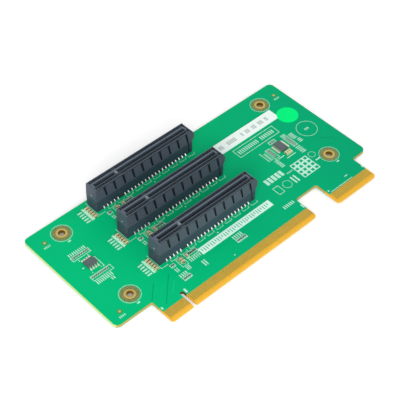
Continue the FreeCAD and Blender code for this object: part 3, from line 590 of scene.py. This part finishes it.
@dataclass(frozen=True)
class Moulding:
    """A moulded or fired solid: mould compound, ceramic.

    Epoxy comes out of the tool with a fine even grain and looks satin. A fired ceramic block can have
    its top faces painted pale as the light that falls on them, while its sides keep the brown of the
    body. The grain is drawn coarser than the real one, so that it shows.
    """
    name: str
    tone: str
    tone_other: str
    roughness: float
    patch_mm: float
    grain_mm: float
    # A tone painted on the top faces as the light that falls on them.
    top_painted_light: str = ""
    top_light_from_mm: float = 0.0
    roughness_spread: float = 0.06

    def build(self) -> Material:
        """Make the material.

        Returns:
            The material, which reads Object coordinates.
        """
        material, tree, spot = new_material(self.name)
        patch = add_node(tree, "ShaderNodeTexNoise", {"Vector": spot, "Scale": per_mm(self.patch_mm),
                                                      "Detail": 4.0})
        tone = layered(tree, self.tone, (patch, self.tone_other))
        # Painted light: above a height the top faces take a paler tone.
        if self.top_painted_light:
            axes = add_node(tree, "ShaderNodeSeparateXYZ", {0: spot})
            tone = layered(tree, tone, (beyond(tree, axes.outputs["Z"], self.top_light_from_mm), self.top_painted_light))
        bump, grain = grained(tree, spot, self.grain_mm, detail=2.0, strength=0.35, depth_mm=0.02)
        rough = add_node(tree, "ShaderNodeMapRange", {"Value": grain,
                                                      "To Min": self.roughness - self.roughness_spread,
                                                      "To Max": self.roughness + self.roughness_spread})
        close_surface(tree, {"Base Color": tone, "Roughness": rough, "Normal": bump, "IOR": 1.53})
        return material


@dataclass(frozen=True)
class SlotPlastic:
    """Black glass-filled polyester, moulded: satin slate on drafted sides, with painted shade in its
    recesses.

    Its zones carry painted light and shade. The walls above the shoulder are painted lighter and those
    below darker, the tops take their own painted tone, the trench is painted darker as shade, and the
    mouth is painted lighter as light reaching into it. The lips and the key divider are painted pale as
    highlights, the grip notches near black as shade, and a small pale spot on the dimple of the left end
    is a painted highlight. The glass grain is drawn coarser than the real one, so that it shows.
    """
    # Lit and shaded copies of one plastic: walls above the shoulder painted lighter as light and below
    # darker as shade, tops with their own painted tone, trench darker as shade, mouth lighter as light
    # reaching in, lips and key divider pale as painted highlights.
    upper: str = "#4A505F"
    lower_wall_shade: str = "#334050"
    crown: str = "#4C5763"
    lip_highlight: str = "#5A6672"
    trench_shade: str = "#2D363F"
    mouth: str = "#45525C"
    divider_highlight: str = "#76838B"
    # Painted shade: the grip notches' floors are coloured near black.
    notch: str = "#1B222A"
    # Painted highlight: a small pale spot on the dimple of the left end.
    dimple_highlight: str = "#B4BEBA"
    worn: float = 0.12
    key_mm: float = 17.2
    first_slot_mm: float = 28.58
    slot_pitch_mm: float = 20.32
    shoulder_mm: float = 7.1
    trench_mm: float = 13.4
    lead_in_mm: float = 13.65
    crown_mm: float = 13.93
    mouth_mm: float = 0.96
    lip_mm: float = 1.3
    mouth_starts_mm: float = 4.0
    divider_half_mm: float = 0.6
    notch_first_mm: float = 9.52
    notch_pitch_mm: float = 5.29
    notch_top_mm: float = 13.32
    notch_foot_mm: float = 7.78
    notch_lean_mm: float = 1.07
    notch_half_mm: float = 0.67
    notch_narrow_mm: float = 0.42
    notch_floor_mm: float = 2.85
    notch_ends_mm: Range = (4.0, 58.0)
    dimple_highlight_at_mm: Corner = (2.85, -0.1, 9.0)
    dimple_highlight_radius_mm: float = 0.38
    patch_mm: float = 9.0
    grain_mm: float = 0.25
    roughness: Range = (0.44, 0.58)

    def build(self) -> Material:
        """Make the material.

        Returns:
            The material, which reads Object coordinates.
        """
        material, tree, spot = new_material("glass_filled_polyester")
        axes = add_node(tree, "ShaderNodeSeparateXYZ", {0: spot})
        along, high = axes.outputs["X"], axes.outputs["Z"]
        across = self.repeat(tree, axes.outputs["Y"], self.first_slot_mm, self.slot_pitch_mm)
        apart = add_node(tree, "ShaderNodeMath", {0: across}, operation="ABSOLUTE")
        patch = add_node(tree, "ShaderNodeTexNoise", {"Vector": spot, "Scale": per_mm(self.patch_mm),
                                                      "Detail": 4.0})
        drift = add_node(tree, "ShaderNodeMapRange", {"Value": patch, "To Min": 1.0 - self.worn,
                                                      "To Max": 1.0 + self.worn})
        shoulder = beyond(tree, high, self.shoulder_mm)
        inland = beyond(tree, along, self.mouth_starts_mm)
        mouth = beyond(tree, apart, self.mouth_mm, below=True)
        at_key = add_node(tree, "ShaderNodeMath", {0: along, 1: self.key_mm * MM,
                                                   2: self.divider_half_mm * MM}, operation="COMPARE")
        # Painted light and shade: each zone takes its lit or shaded tone, the notches near black as shade
        # and the dimple a pale highlight.
        tone = layered(
            tree, self.lower_wall_shade,
            (shoulder, self.upper),
            (all_of(tree, beyond(tree, high, self.trench_mm), inland), self.trench_shade),
            (all_of(tree, mouth, inland), self.mouth),
            (all_of(tree, mouth, shoulder, at_key), self.divider_highlight),
            (self.notches(tree, axes, apart), self.notch),
            (beyond(tree, high, self.crown_mm), self.crown),
            (all_of(tree, beyond(tree, high, self.lead_in_mm), beyond(tree, apart, self.lip_mm, below=True),
                    inland), self.lip_highlight),
            (self.dimple_highlight_zone(tree, axes, across), self.dimple_highlight))
        varied = add_node(tree, "ShaderNodeVectorMath", {0: tone, "Scale": drift}, operation="SCALE")
        bump, grain = grained(tree, spot, self.grain_mm, detail=2.0, strength=0.35, depth_mm=0.02)
        smoothest, roughest = self.roughness
        rough = add_node(tree, "ShaderNodeMapRange", {"Value": grain, "To Min": smoothest,
                                                      "To Max": roughest})
        close_surface(tree, {"Base Color": varied, "Roughness": rough, "Normal": bump, "IOR": 1.53,
                             "Specular IOR Level": 0.3})
        return material

    def repeat(self, tree: NodeTree, value: Feed, first_mm: float, pitch_mm: float) -> Node:
        """Fold a coordinate so that every repeat of a feature lies at zero.

        Args:
            tree: the material's tree.
            value: the coordinate, in metres.
            first_mm: where the first one lies.
            pitch_mm: how far apart they are.

        Returns:
            The distance from the nearest one, with its sign.
        """
        half = pitch_mm / 2
        shifted = add_node(tree, "ShaderNodeMath", {0: value, 1: (half - first_mm) * MM})
        wrapped = add_node(tree, "ShaderNodeMath", {0: shifted, 1: pitch_mm * MM},
                           operation="FLOORED_MODULO")
        return add_node(tree, "ShaderNodeMath", {0: wrapped, 1: half * MM}, operation="SUBTRACT")

    def notches(self, tree: NodeTree, axes: Node, apart: Node) -> Feed:
        """Where the walls and floors of the leaning grip notches lie.

        Args:
            tree: the material's tree.
            axes: the node that gives the point's coordinates.
            apart: distance from the slot's middle plane.

        Returns:
            One in a notch, zero elsewhere.
        """
        along, high = axes.outputs["X"], axes.outputs["Z"]
        folded = self.repeat(tree, along, self.key_mm - self.notch_first_mm, self.notch_pitch_mm)
        fall = add_node(tree, "ShaderNodeMapRange", {
            "Value": high, "From Min": self.notch_top_mm * MM, "From Max": self.notch_foot_mm * MM})
        middle = add_node(tree, "ShaderNodeMath", {0: fall, 1: self.notch_lean_mm * MM},
                          operation="MULTIPLY")
        offset = add_node(tree, "ShaderNodeMath", {0: folded, 1: middle}, operation="SUBTRACT")
        reach = add_node(tree, "ShaderNodeMath", {0: offset}, operation="ABSOLUTE")
        half = add_node(tree, "ShaderNodeMapRange", {
            "Value": fall, "To Min": self.notch_half_mm * MM, "To Max": self.notch_narrow_mm * MM})
        inside = add_node(tree, "ShaderNodeMath", {0: reach, 1: half}, operation="LESS_THAN")
        first, last = self.notch_ends_mm
        # These notch floors are painted near black as shade.
        return all_of(tree, inside, beyond(tree, high, self.notch_foot_mm),
                      beyond(tree, high, self.notch_top_mm, below=True),
                      beyond(tree, apart, self.notch_floor_mm),
                      beyond(tree, along, first), beyond(tree, along, last, below=True))

    def dimple_highlight_zone(self, tree: NodeTree, axes: Node, across: Node) -> Node:
        """Where the small round painted highlight of the dimple lies on the left end.

        Args:
            tree: the material's tree.
            axes: the node that gives the point's coordinates.
            across: signed distance from the slot's middle plane.

        Returns:
            One in the highlight, zero elsewhere.
        """
        local = add_node(tree, "ShaderNodeCombineXYZ", {"X": axes.outputs["X"], "Y": across,
                                                        "Z": axes.outputs["Z"]})
        gap = add_node(tree, "ShaderNodeVectorMath", {0: local, 1: metres(self.dimple_highlight_at_mm)},
                       operation="DISTANCE")
        return beyond(tree, gap, self.dimple_highlight_radius_mm, below=True)


@dataclass(frozen=True)
class PrintedInk:
    """White epoxy ink, screened thin over the mask, so green shows through where it is thinnest.

    The long band of marks near the gold edge is laid thicker, so it stays an even white.
    """
    ink: str = "#DAFBEF"
    thin: str = "#6BD2A8"
    speckle_mm: float = 0.42
    speckle_span: Range = (0.4, 0.66)
    band_mm: Corner = (41.7, 19.1, 0.8)
    band_half_mm: Corner = (21.3, 2.1, 5.0)

    def build(self) -> Material:
        """Make the material.

        Returns:
            The material, which reads Object coordinates.
        """
        material, tree, spot = new_material("white_epoxy_ink")
        speckle = add_node(tree, "ShaderNodeTexNoise", {"Vector": spot, "Scale": per_mm(self.speckle_mm),
                                                        "Detail": 4.0})
        low, high = self.speckle_span
        share = add_node(tree, "ShaderNodeMapRange", {"Value": speckle, "From Min": low, "From Max": high})
        thinness = all_of(tree, share, outside_of(tree, spot, self.band_mm, self.band_half_mm))
        tone = layered(tree, self.ink, (thinness, self.thin))
        close_surface(tree, {"Base Color": tone, "Roughness": 0.55, "IOR": 1.5, "Specular IOR Level": 0.2})
        return material


@dataclass(frozen=True)
class CoatedSheet:
    """Label stock: coated paper, or glossy film, laid flat on the mask.

    Paper reads as an even pale patch with a breath of fibre, film as one strong clean colour. The
    same thin flat layers stand for bare laminate and for the mask beside a track.
    """
    name: str
    tone: str
    tone_other: str
    roughness: float
    fibre_mm: float
    shine: float = 0.3

    def build(self) -> Material:
        """Make the material.

        Returns:
            The material, which reads Object coordinates.
        """
        material, tree, spot = new_material(self.name)
        fibre = add_node(tree, "ShaderNodeTexNoise", {"Vector": spot, "Scale": per_mm(self.fibre_mm),
                                                      "Detail": 5.0, "Roughness": 0.6})
        tone = layered(tree, self.tone, (fibre, self.tone_other))
        bump = add_node(tree, "ShaderNodeBump", {"Height": fibre, "Strength": 0.15, "Distance": 0.02 * MM})
        close_surface(tree, {"Base Color": tone, "Roughness": self.roughness, "Normal": bump, "IOR": 1.48,
                             "Specular IOR Level": self.shine})
        return material


class Finish(Enum):
    """Every finish on the card."""
    BOARD = SolderMask()
    GOLD = PlatedMetal("gold_over_nickel", "#BFA84C", "#A99446", roughness=0.38)
    PALE_GOLD = PlatedMetal("pale_gold_pad", "#BFC272", "#AFB464", roughness=0.45)
    LAND = HoleLand()
    SPRING = SpringContact()
    TIN = PlatedMetal("bright_tin", "#E9ECEA", "#CDD2D0", roughness=0.3)
    SOLDER = PlatedMetal("tin_solder_cone", "#CDE0DC", "#B4CCC6", roughness=0.42)
    CAP_TIN = PlatedMetal("tinned_end_caps", "#F3F1D0", "#E0DDB8", roughness=0.34)
    SLOT_PLASTIC = SlotPlastic()
    # Its cream top faces are painted light; the brown sides are the body.
    TAN_CERAMIC = Moulding("olive_fired_ceramic", "#94783C", "#7E6634", roughness=0.55, patch_mm=0.6,
                           grain_mm=0.1, top_painted_light="#CFC597", top_light_from_mm=1.5)
    DARK_CERAMIC = Moulding("dark_resistor_glaze", "#2B2B2E", "#3C3A3A", roughness=0.4, patch_mm=0.6,
                            grain_mm=0.1)
    MOULD = Moulding("moulded_epoxy", "#556060", "#495454", roughness=0.6, patch_mm=1.5, grain_mm=0.12)
    INK = PrintedInk()
    PAPER = CoatedSheet("coated_label_paper", "#F5FFFB", "#EAFBF4", roughness=0.6, fibre_mm=0.8)
    PAPER_PRINT = CoatedSheet("grey_label_print", "#8F9798", "#B4BCBA", roughness=0.6, fibre_mm=0.4)
    FILM = CoatedSheet("green_gloss_film", "#00FB84", "#00F07C", roughness=0.25, fibre_mm=3.0, shine=0.04)
    BARE = CoatedSheet("bare_laminate_opening", "#339B58", "#2A9050", roughness=0.6, fibre_mm=0.5)
    TRACE = CoatedSheet("mask_beside_a_track", "#00986A", "#009064", roughness=0.42, fibre_mm=3.0,
                        shine=0.06)
    TRACE_PALE = CoatedSheet("mask_over_a_track", "#22C98C", "#14BE80", roughness=0.42, fibre_mm=3.0,
                             shine=0.06)


class Paint:
    """Makes each finish once and hands it out."""

    def __init__(self) -> None:
        """Start with no material made."""
        self.made: dict[Finish, Material] = {}

    def get(self, finish: Finish) -> Material:
        """The material of a finish.

        Args:
            finish: which one.

        Returns:
            Its material, the same one each time.
        """
        if finish not in self.made:
            self.made[finish] = finish.value.build()
        return self.made[finish]


# ---------------------------------------------------------------- sub-assemblies

@dataclass
class CarriedOver:
    """CAD nodes whose shape is right, and that only need a finish."""
    finishes: dict[str, Finish] = field(default_factory=lambda: {
        "circuit_board": Finish.BOARD,
        "_fingers_": Finish.GOLD,
        "fiducial_pads": Finish.PALE_GOLD,
        "mounting_hole_platings": Finish.LAND,
        "_contacts_": Finish.SPRING,
        "_solder_joints": Finish.SOLDER,
        "_terminals": Finish.TIN,
        "_chip_leads": Finish.TIN,
        "_housing": Finish.SLOT_PLASTIC,
        "_capacitor_bodies": Finish.TAN_CERAMIC,
        "_resistor_bodies": Finish.DARK_CERAMIC,
        "_chip_body": Finish.MOULD,
        "silkscreen": Finish.INK,
        "serial_label": Finish.PAPER,
        "inspection_sticker": Finish.FILM,
    })

    def build(self, paint: Paint) -> None:
        """Dress every CAD node by the part of its name that says what it is made of.

        Args:
            paint: the finishes.
        """
        for name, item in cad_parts.items():
            finish = next(f for word, f in self.finishes.items() if word in name)
            dress(item, paint.get(finish))
            LOG.info("dressed %s", name)


@dataclass
class ChipParts:
    """Chip capacitors and resistors: ceramic blocks with wrapped, rounded end caps and solder feet."""
    kind: str
    finish: Finish
    slot: str
    rounding_mm: float
    caps: Finish
    caps_rounder: float = 1.3
    foot_mm: float = 0.22
    foot_height_mm: float = 0.07

    def groups(self) -> list[str]:
        """Names of the groups of this kind, without their last word."""
        ending = f"_{self.kind}_bodies"
        return sorted(name[:-len("_bodies")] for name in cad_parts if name.endswith(ending))

    def build(self, paint: Paint) -> None:
        """Make the bodies and the end caps of every group.

        Args:
            paint: the finishes.
        """
        reach = Vector((self.foot_mm * MM / 2, self.foot_mm * MM / 2, 0.0))
        foot_edge = self.foot_height_mm * MM / FOOT_ROUNDING
        for group in self.groups():
            bodies = bmesh.new()
            for low, high in islands(f"{group}_bodies"):
                add_block(bodies, low, high, self.rounding_mm * MM)
            finish_piece(bodies, f"{group}_blocks", paint.get(self.finish),
                         [f"{group}_bodies"], smooth=True)
            caps = bmesh.new()
            for low, high in islands(f"{group}_terminals"):
                add_block(caps, low, high, self.rounding_mm * MM * self.caps_rounder)
                top = Vector((high[0], high[1], low[2] + self.foot_height_mm * MM))
                add_block(caps, low - reach, top + reach, foot_edge, segments=1)
            finish_piece(caps, f"{group}_caps", paint.get(self.caps),
                         [f"{group}_terminals"], smooth=True)


@dataclass
class LeadPads:
    """Tinned pads that the packaged chips' leads are soldered to."""
    nodes: tuple[str, ...] = ("left_chip_leads", "right_chip_leads")
    grow_mm: float = 0.12
    toe_mm: float = 0.5
    height_mm: float = 0.06

    def build(self, paint: Paint) -> None:
        """Lay a pad under the foot of every lead.

        Args:
            paint: the finishes.
        """
        for node in self.nodes:
            boxes = islands(node)
            middle = sum(((low + high) / 2 for low, high in boxes), Vector()) / len(boxes)
            mesh = bmesh.new()
            for low, high in boxes:
                along = 1 if high[1] - low[1] > high[0] - low[0] else 0
                across = 1 - along
                halfway = (low[along] + high[along]) / 2
                first, last = low.copy(), high.copy()
                if halfway > middle[along]:
                    first[along] = halfway
                    last[along] += self.toe_mm * MM
                else:
                    last[along] = halfway
                    first[along] -= self.toe_mm * MM
                first[across] -= self.grow_mm * MM
                last[across] += self.grow_mm * MM
                last[2] = low[2] + self.height_mm * MM
                add_block(mesh, first, last, self.height_mm * MM / FOOT_ROUNDING)
            finish_piece(mesh, f"{node}_pads", paint.get(Finish.CAP_TIN), smooth=True)


@dataclass
class MaskDetails:
    """What shows in the mask: openings round the alignment pads, and tracks that run under it."""
    opening_radius_mm: float = 1.3
    opening_sides: int = 40
    layer_mm: float = 0.02
    track_mm: float = 0.32
    dark_tracks_mm: tuple[tuple[Corner, ...], ...] = (
        ((-11.8, 13.3), (-5.2, 19.8)),
        ((-8.4, 8.3), (-2.2, 14.5), (2.5, 19.2)),
        ((108.8, 32.5), (113.3, 28.7), (113.3, 26.0)),
    )
    pale_tracks_mm: tuple[tuple[Corner, ...], ...] = (((-2.8, 10.6), (1.9, 15.0)),)

    def openings(self, material: Material) -> None:
        """Make the bare rings round the alignment pads.

        Args:
            material: their finish.
        """
        mesh = bmesh.new()
        radius, rise = self.opening_radius_mm * MM, self.layer_mm * MM
        for low, high in islands("fiducial_pads"):
            middle = (low + high) / 2
            place = Matrix.Translation((middle[0], middle[1], low[2] + rise / 2))
            bmesh.ops.create_cone(mesh, cap_ends=True, segments=self.opening_sides, radius1=radius,
                                  radius2=radius, depth=rise, matrix=place)
        finish_piece(mesh, "mask_openings", material)

    def tracks(self, name: str, routes: tuple[tuple[Corner, ...], ...], material: Material) -> None:
        """Lay the faint ridges of some tracks.

        Args:
            name: the piece's name.
            routes: the corners of each track.
            material: their finish.
        """
        mesh = bmesh.new()
        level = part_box("circuit_board")[1][2]
        for route in routes:
            for start, end in zip(route, route[1:]):
                first, last = Vector((*start, 0.0)) * MM, Vector((*end, 0.0)) * MM
                run = last - first
                middle = (first + last) / 2 + Vector((0, 0, level + self.layer_mm * MM / 2))
                turn = Matrix.Rotation(math.atan2(run.y, run.x), 4, "Z")
                size = Matrix.Diagonal((run.length, self.track_mm * MM, self.layer_mm * MM, 1.0))
                bmesh.ops.create_cube(mesh, size=1.0, matrix=Matrix.Translation(middle) @ turn @ size)
        finish_piece(mesh, name, material)

    def build(self, paint: Paint) -> None:
        """Make the openings and the tracks.

        Args:
            paint: the finishes.
        """
        self.openings(paint.get(Finish.BARE))
        self.tracks("dark_tracks", self.dark_tracks_mm, paint.get(Finish.TRACE))
        self.tracks("pale_tracks", self.pale_tracks_mm, paint.get(Finish.TRACE_PALE))


@dataclass
class Sticker:
    """The round film sticker, slightly domed with a soft rim. Heights are shares of its thickness."""
    rim_mm: float = 0.35
    rings: int = 5
    sides: int = 72
    rim_foot: float = 0.2
    rim_rise: float = 0.6
    dome_height: float = 0.95
    dome_radius: float = 0.5

    def build(self, paint: Paint) -> None:
        """Spin the dome round the sticker's middle.

        Args:
            paint: the finishes.
        """
        low, high = (Vector(corner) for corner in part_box("inspection_sticker"))
        middle = (low + high) / 2
        radius, tall = (high[0] - low[0]) / 2, high[2] - low[2]
        turns = [k / self.rings * math.pi / 2 for k in range(self.rings + 1)]
        rim = [(radius - self.rim_mm * MM * (1 - math.cos(turn)),
                tall * (self.rim_foot + self.rim_rise * math.sin(turn))) for turn in turns]
        outline = [(radius, 0.0), *rim, (radius * self.dome_radius, tall * self.dome_height), (0.0, tall)]
        mesh = bmesh.new()
        corners = [mesh.verts.new((middle[0] + r, middle[1], low[2] + z)) for r, z in outline]
        edges = [mesh.edges.new(pair) for pair in zip(corners, corners[1:])]
        bmesh.ops.spin(mesh, geom=corners + edges, cent=middle, axis=(0, 0, 1), angle=2 * math.pi,
                       steps=self.sides, use_merge=True)
        bmesh.ops.remove_doubles(mesh, verts=mesh.verts, dist=SAME_POINT)
        bmesh.ops.holes_fill(mesh, edges=[e for e in mesh.edges if e.is_boundary], sides=0)
        finish_piece(mesh, "sticker_dome", paint.get(Finish.FILM), ["inspection_sticker"],
                     smooth=True)


@dataclass
class LabelPrint:
    """Plain grey hatches printed on the paper label, each given by its ends and its lines' pitch."""
    front_mm: float = 57.0
    back_mm: float = 59.4
    hatches_mm: tuple[tuple[float, float, float], ...] = (
        (69.0, 71.8, 0.42), (74.2, 80.6, 0.8), (83.0, 84.6, 0.4), (85.8, 88.4, 0.65), (90.0, 92.7, 0.5),
        (94.2, 97.2, 0.75), (98.5, 100.4, 0.45))
    ink_mm: float = 0.012
    share: float = 0.5

    def build(self, paint: Paint) -> None:
        """Lay the hatches on the label.

        Args:
            paint: the finishes.
        """
        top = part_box("serial_label")[1][2]
        mesh = bmesh.new()
        for left, right, pitch in self.hatches_mm:
            for k in range(int((right - left) / pitch)):
                start = left + k * pitch
                low = (start * MM, self.front_mm * MM, top)
                high = ((start + pitch * self.share) * MM, self.back_mm * MM, top + self.ink_mm * MM)
                add_block(mesh, low, high)
        finish_piece(mesh, "label_marks", paint.get(Finish.PAPER_PRINT))


# ---------------------------------------------------------------- stage, light and camera

@dataclass(frozen=True)
class Lamp:
    """A soft square lamp that faces the card."""
    name: str
    place_mm: Corner
    size_mm: float
    watts: float

    def build(self, target: Vector) -> None:
        """Add the lamp.

        Args:
            target: the point that it faces, in metres.
        """
        data = bpy.data.lights.new(self.name, "AREA")
        data.size = self.size_mm * MM
        data.energy = self.watts
        item = bpy.data.objects.new(self.name, data)
        place = Vector(self.place_mm) * MM
        facing = (place - target).to_track_quat("Z", "Y").to_matrix().to_4x4()
        item.matrix_world = Matrix.Translation(place) @ facing
        bpy.context.scene.collection.objects.link(item)


@dataclass
class Studio:
    """A pale floor, soft light and the camera."""
    target_mm: Corner = (40.87, 41.07, 0.785)
    distance_mm: float = 509.3
    azimuth: float = -43.8
    elevation: float = 47.13
    roll: float = 0.98
    focal_mm: float = 104.26
    sensor_mm: float = 36.0
    nearest_mm: float = 10.0
    ambient: float = 0.62
    lamps: tuple[Lamp, ...] = (Lamp("key", (-330.0, -330.0, 330.0), size_mm=380.0, watts=2.6),
                               Lamp("fill", (420.0, -240.0, 480.0), size_mm=500.0, watts=0.5))
    floor_middle_mm: Corner = (40.0, 40.0)
    floor_reach_m: float = 3.0
    floor_tone: Corner = (0.8, 0.8, 0.8, 1.0)
    floor_tone_seen: Corner = (0.78, 0.78, 0.78, 1.0)
    floor_near: float = 0.36
    floor_far: float = 0.6
    near_mm: float = 90.0
    far_mm: float = 230.0
    under_card_shade_share: float = 0.15
    under_centre_mm: Corner = (43.9, 44.4, 0.0)
    under_half_mm: Corner = (68.0, 26.0, 50.0)

    def camera(self, target: Vector) -> None:
        """Place the camera.

        Args:
            target: the point that it looks at, in metres.
        """
        data = bpy.data.cameras.new("camera")
        data.sensor_width = self.sensor_mm
        data.lens = self.focal_mm
        data.clip_start = self.nearest_mm * MM
        item = bpy.data.objects.new("camera", data)
        turn = math.radians(self.azimuth)
        rise = math.radians(self.elevation)
        back = Vector((math.sin(turn) * math.cos(rise), -math.cos(turn) * math.cos(rise), math.sin(rise)))
        facing = back.to_track_quat("Z", "Y").to_matrix().to_4x4()
        tilt = Matrix.Rotation(math.radians(self.roll), 4, "Z")
        item.matrix_world = Matrix.Translation(target + back * self.distance_mm * MM) @ facing @ tilt
        bpy.context.scene.collection.objects.link(item)
        bpy.context.scene.camera = item

    def seen(self, tree: NodeTree) -> Node:
        """Where the camera, a reflection or a view through glass sees the backdrop.

        Args:
            tree: the node tree that asks.

        Returns:
            One for such a ray, zero for one that carries light to the card.
        """
        rays = add_node(tree, "ShaderNodeLightPath").outputs
        direct = add_node(tree, "ShaderNodeMath", {0: rays["Is Camera Ray"], 1: rays["Is Glossy Ray"]},
                          operation="MAXIMUM")
        return add_node(tree, "ShaderNodeMath", {0: direct, 1: rays["Is Transmission Ray"]},
                        operation="MAXIMUM")

    def world(self) -> None:
        """Even light from all round, seen as white by the camera and in reflections."""
        world = bpy.data.worlds.new("studio")
        world.use_nodes = True
        tree = world.node_tree
        tree.nodes.clear()
        level = add_node(tree, "ShaderNodeMapRange", {"Value": self.seen(tree), "To Min": self.ambient})
        light = add_node(tree, "ShaderNodeBackground", {"Color": WHITE, "Strength": level})
        add_node(tree, "ShaderNodeOutputWorld", {"Surface": light})
        bpy.context.scene.world = world

    def floor(self) -> None:
        """A wide pale floor that keeps the card's shadow, with a painted shade under the card's middle."""
        mesh = bmesh.new()
        place = Matrix.Translation((*metres(self.floor_middle_mm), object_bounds()[0][2]))
        bmesh.ops.create_grid(mesh, x_segments=1, y_segments=1, size=self.floor_reach_m, matrix=place)
        item = place_mesh(mesh, "floor")
        material, tree, spot = new_material("pale_floor")
        away = add_node(tree, "ShaderNodeVectorMath", {0: spot, 1: metres(self.target_mm)},
                        operation="DISTANCE")
        fade = add_node(tree, "ShaderNodeMapRange", {
            "Value": away, "From Min": self.near_mm * MM, "From Max": self.far_mm * MM,
            "To Min": self.floor_near, "To Max": self.floor_far})
        # Painted shade: under the card's middle the floor's glow is cut to a small share.
        outside = outside_of(tree, spot, self.under_centre_mm, self.under_half_mm)
        share = add_node(tree, "ShaderNodeMapRange", {"Value": outside, "To Min": self.under_card_shade_share})
        glow = add_node(tree, "ShaderNodeEmission", {"Color": WHITE, "Strength": all_of(tree, fade, share)})
        plain = add_node(tree, "ShaderNodeBsdfDiffuse", {"Color": self.floor_tone})
        soft = add_node(tree, "ShaderNodeBsdfDiffuse", {"Color": self.floor_tone_seen})
        white = add_node(tree, "ShaderNodeAddShader", {0: soft, 1: glow})
        choice = add_node(tree, "ShaderNodeMixShader", {0: self.seen(tree), 1: plain, 2: white})
        add_node(tree, "ShaderNodeOutputMaterial", {"Surface": choice})
        dress(item, material)
        item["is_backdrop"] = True

    def build(self) -> None:
        """Set the view, the light and the floor."""
        bpy.context.scene.view_settings.view_transform = "Standard"
        target = Vector(self.target_mm) * MM
        self.camera(target)
        self.world()
        self.floor()
        for lamp in self.lamps:
            lamp.build(target)


def main() -> None:
    """Build the card's pieces in order, then the studio round it."""
    logging.basicConfig(level=logging.INFO, format="%(name)s: %(message)s")
    paint = Paint()
    parts = [
        CarriedOver(),
        ChipParts("capacitor", Finish.TAN_CERAMIC, "tan_ceramic", rounding_mm=0.1, caps=Finish.CAP_TIN),
        ChipParts("resistor", Finish.DARK_CERAMIC, "dark_ceramic", rounding_mm=0.04, caps=Finish.TIN),
        LeadPads(),
        MaskDetails(),
        Sticker(),
        LabelPrint(),
    ]
    for part in parts:
        part.build(paint)
        LOG.info("built %s", type(part).__name__)
    Studio().build()


if __name__ == "__main__":
    main()
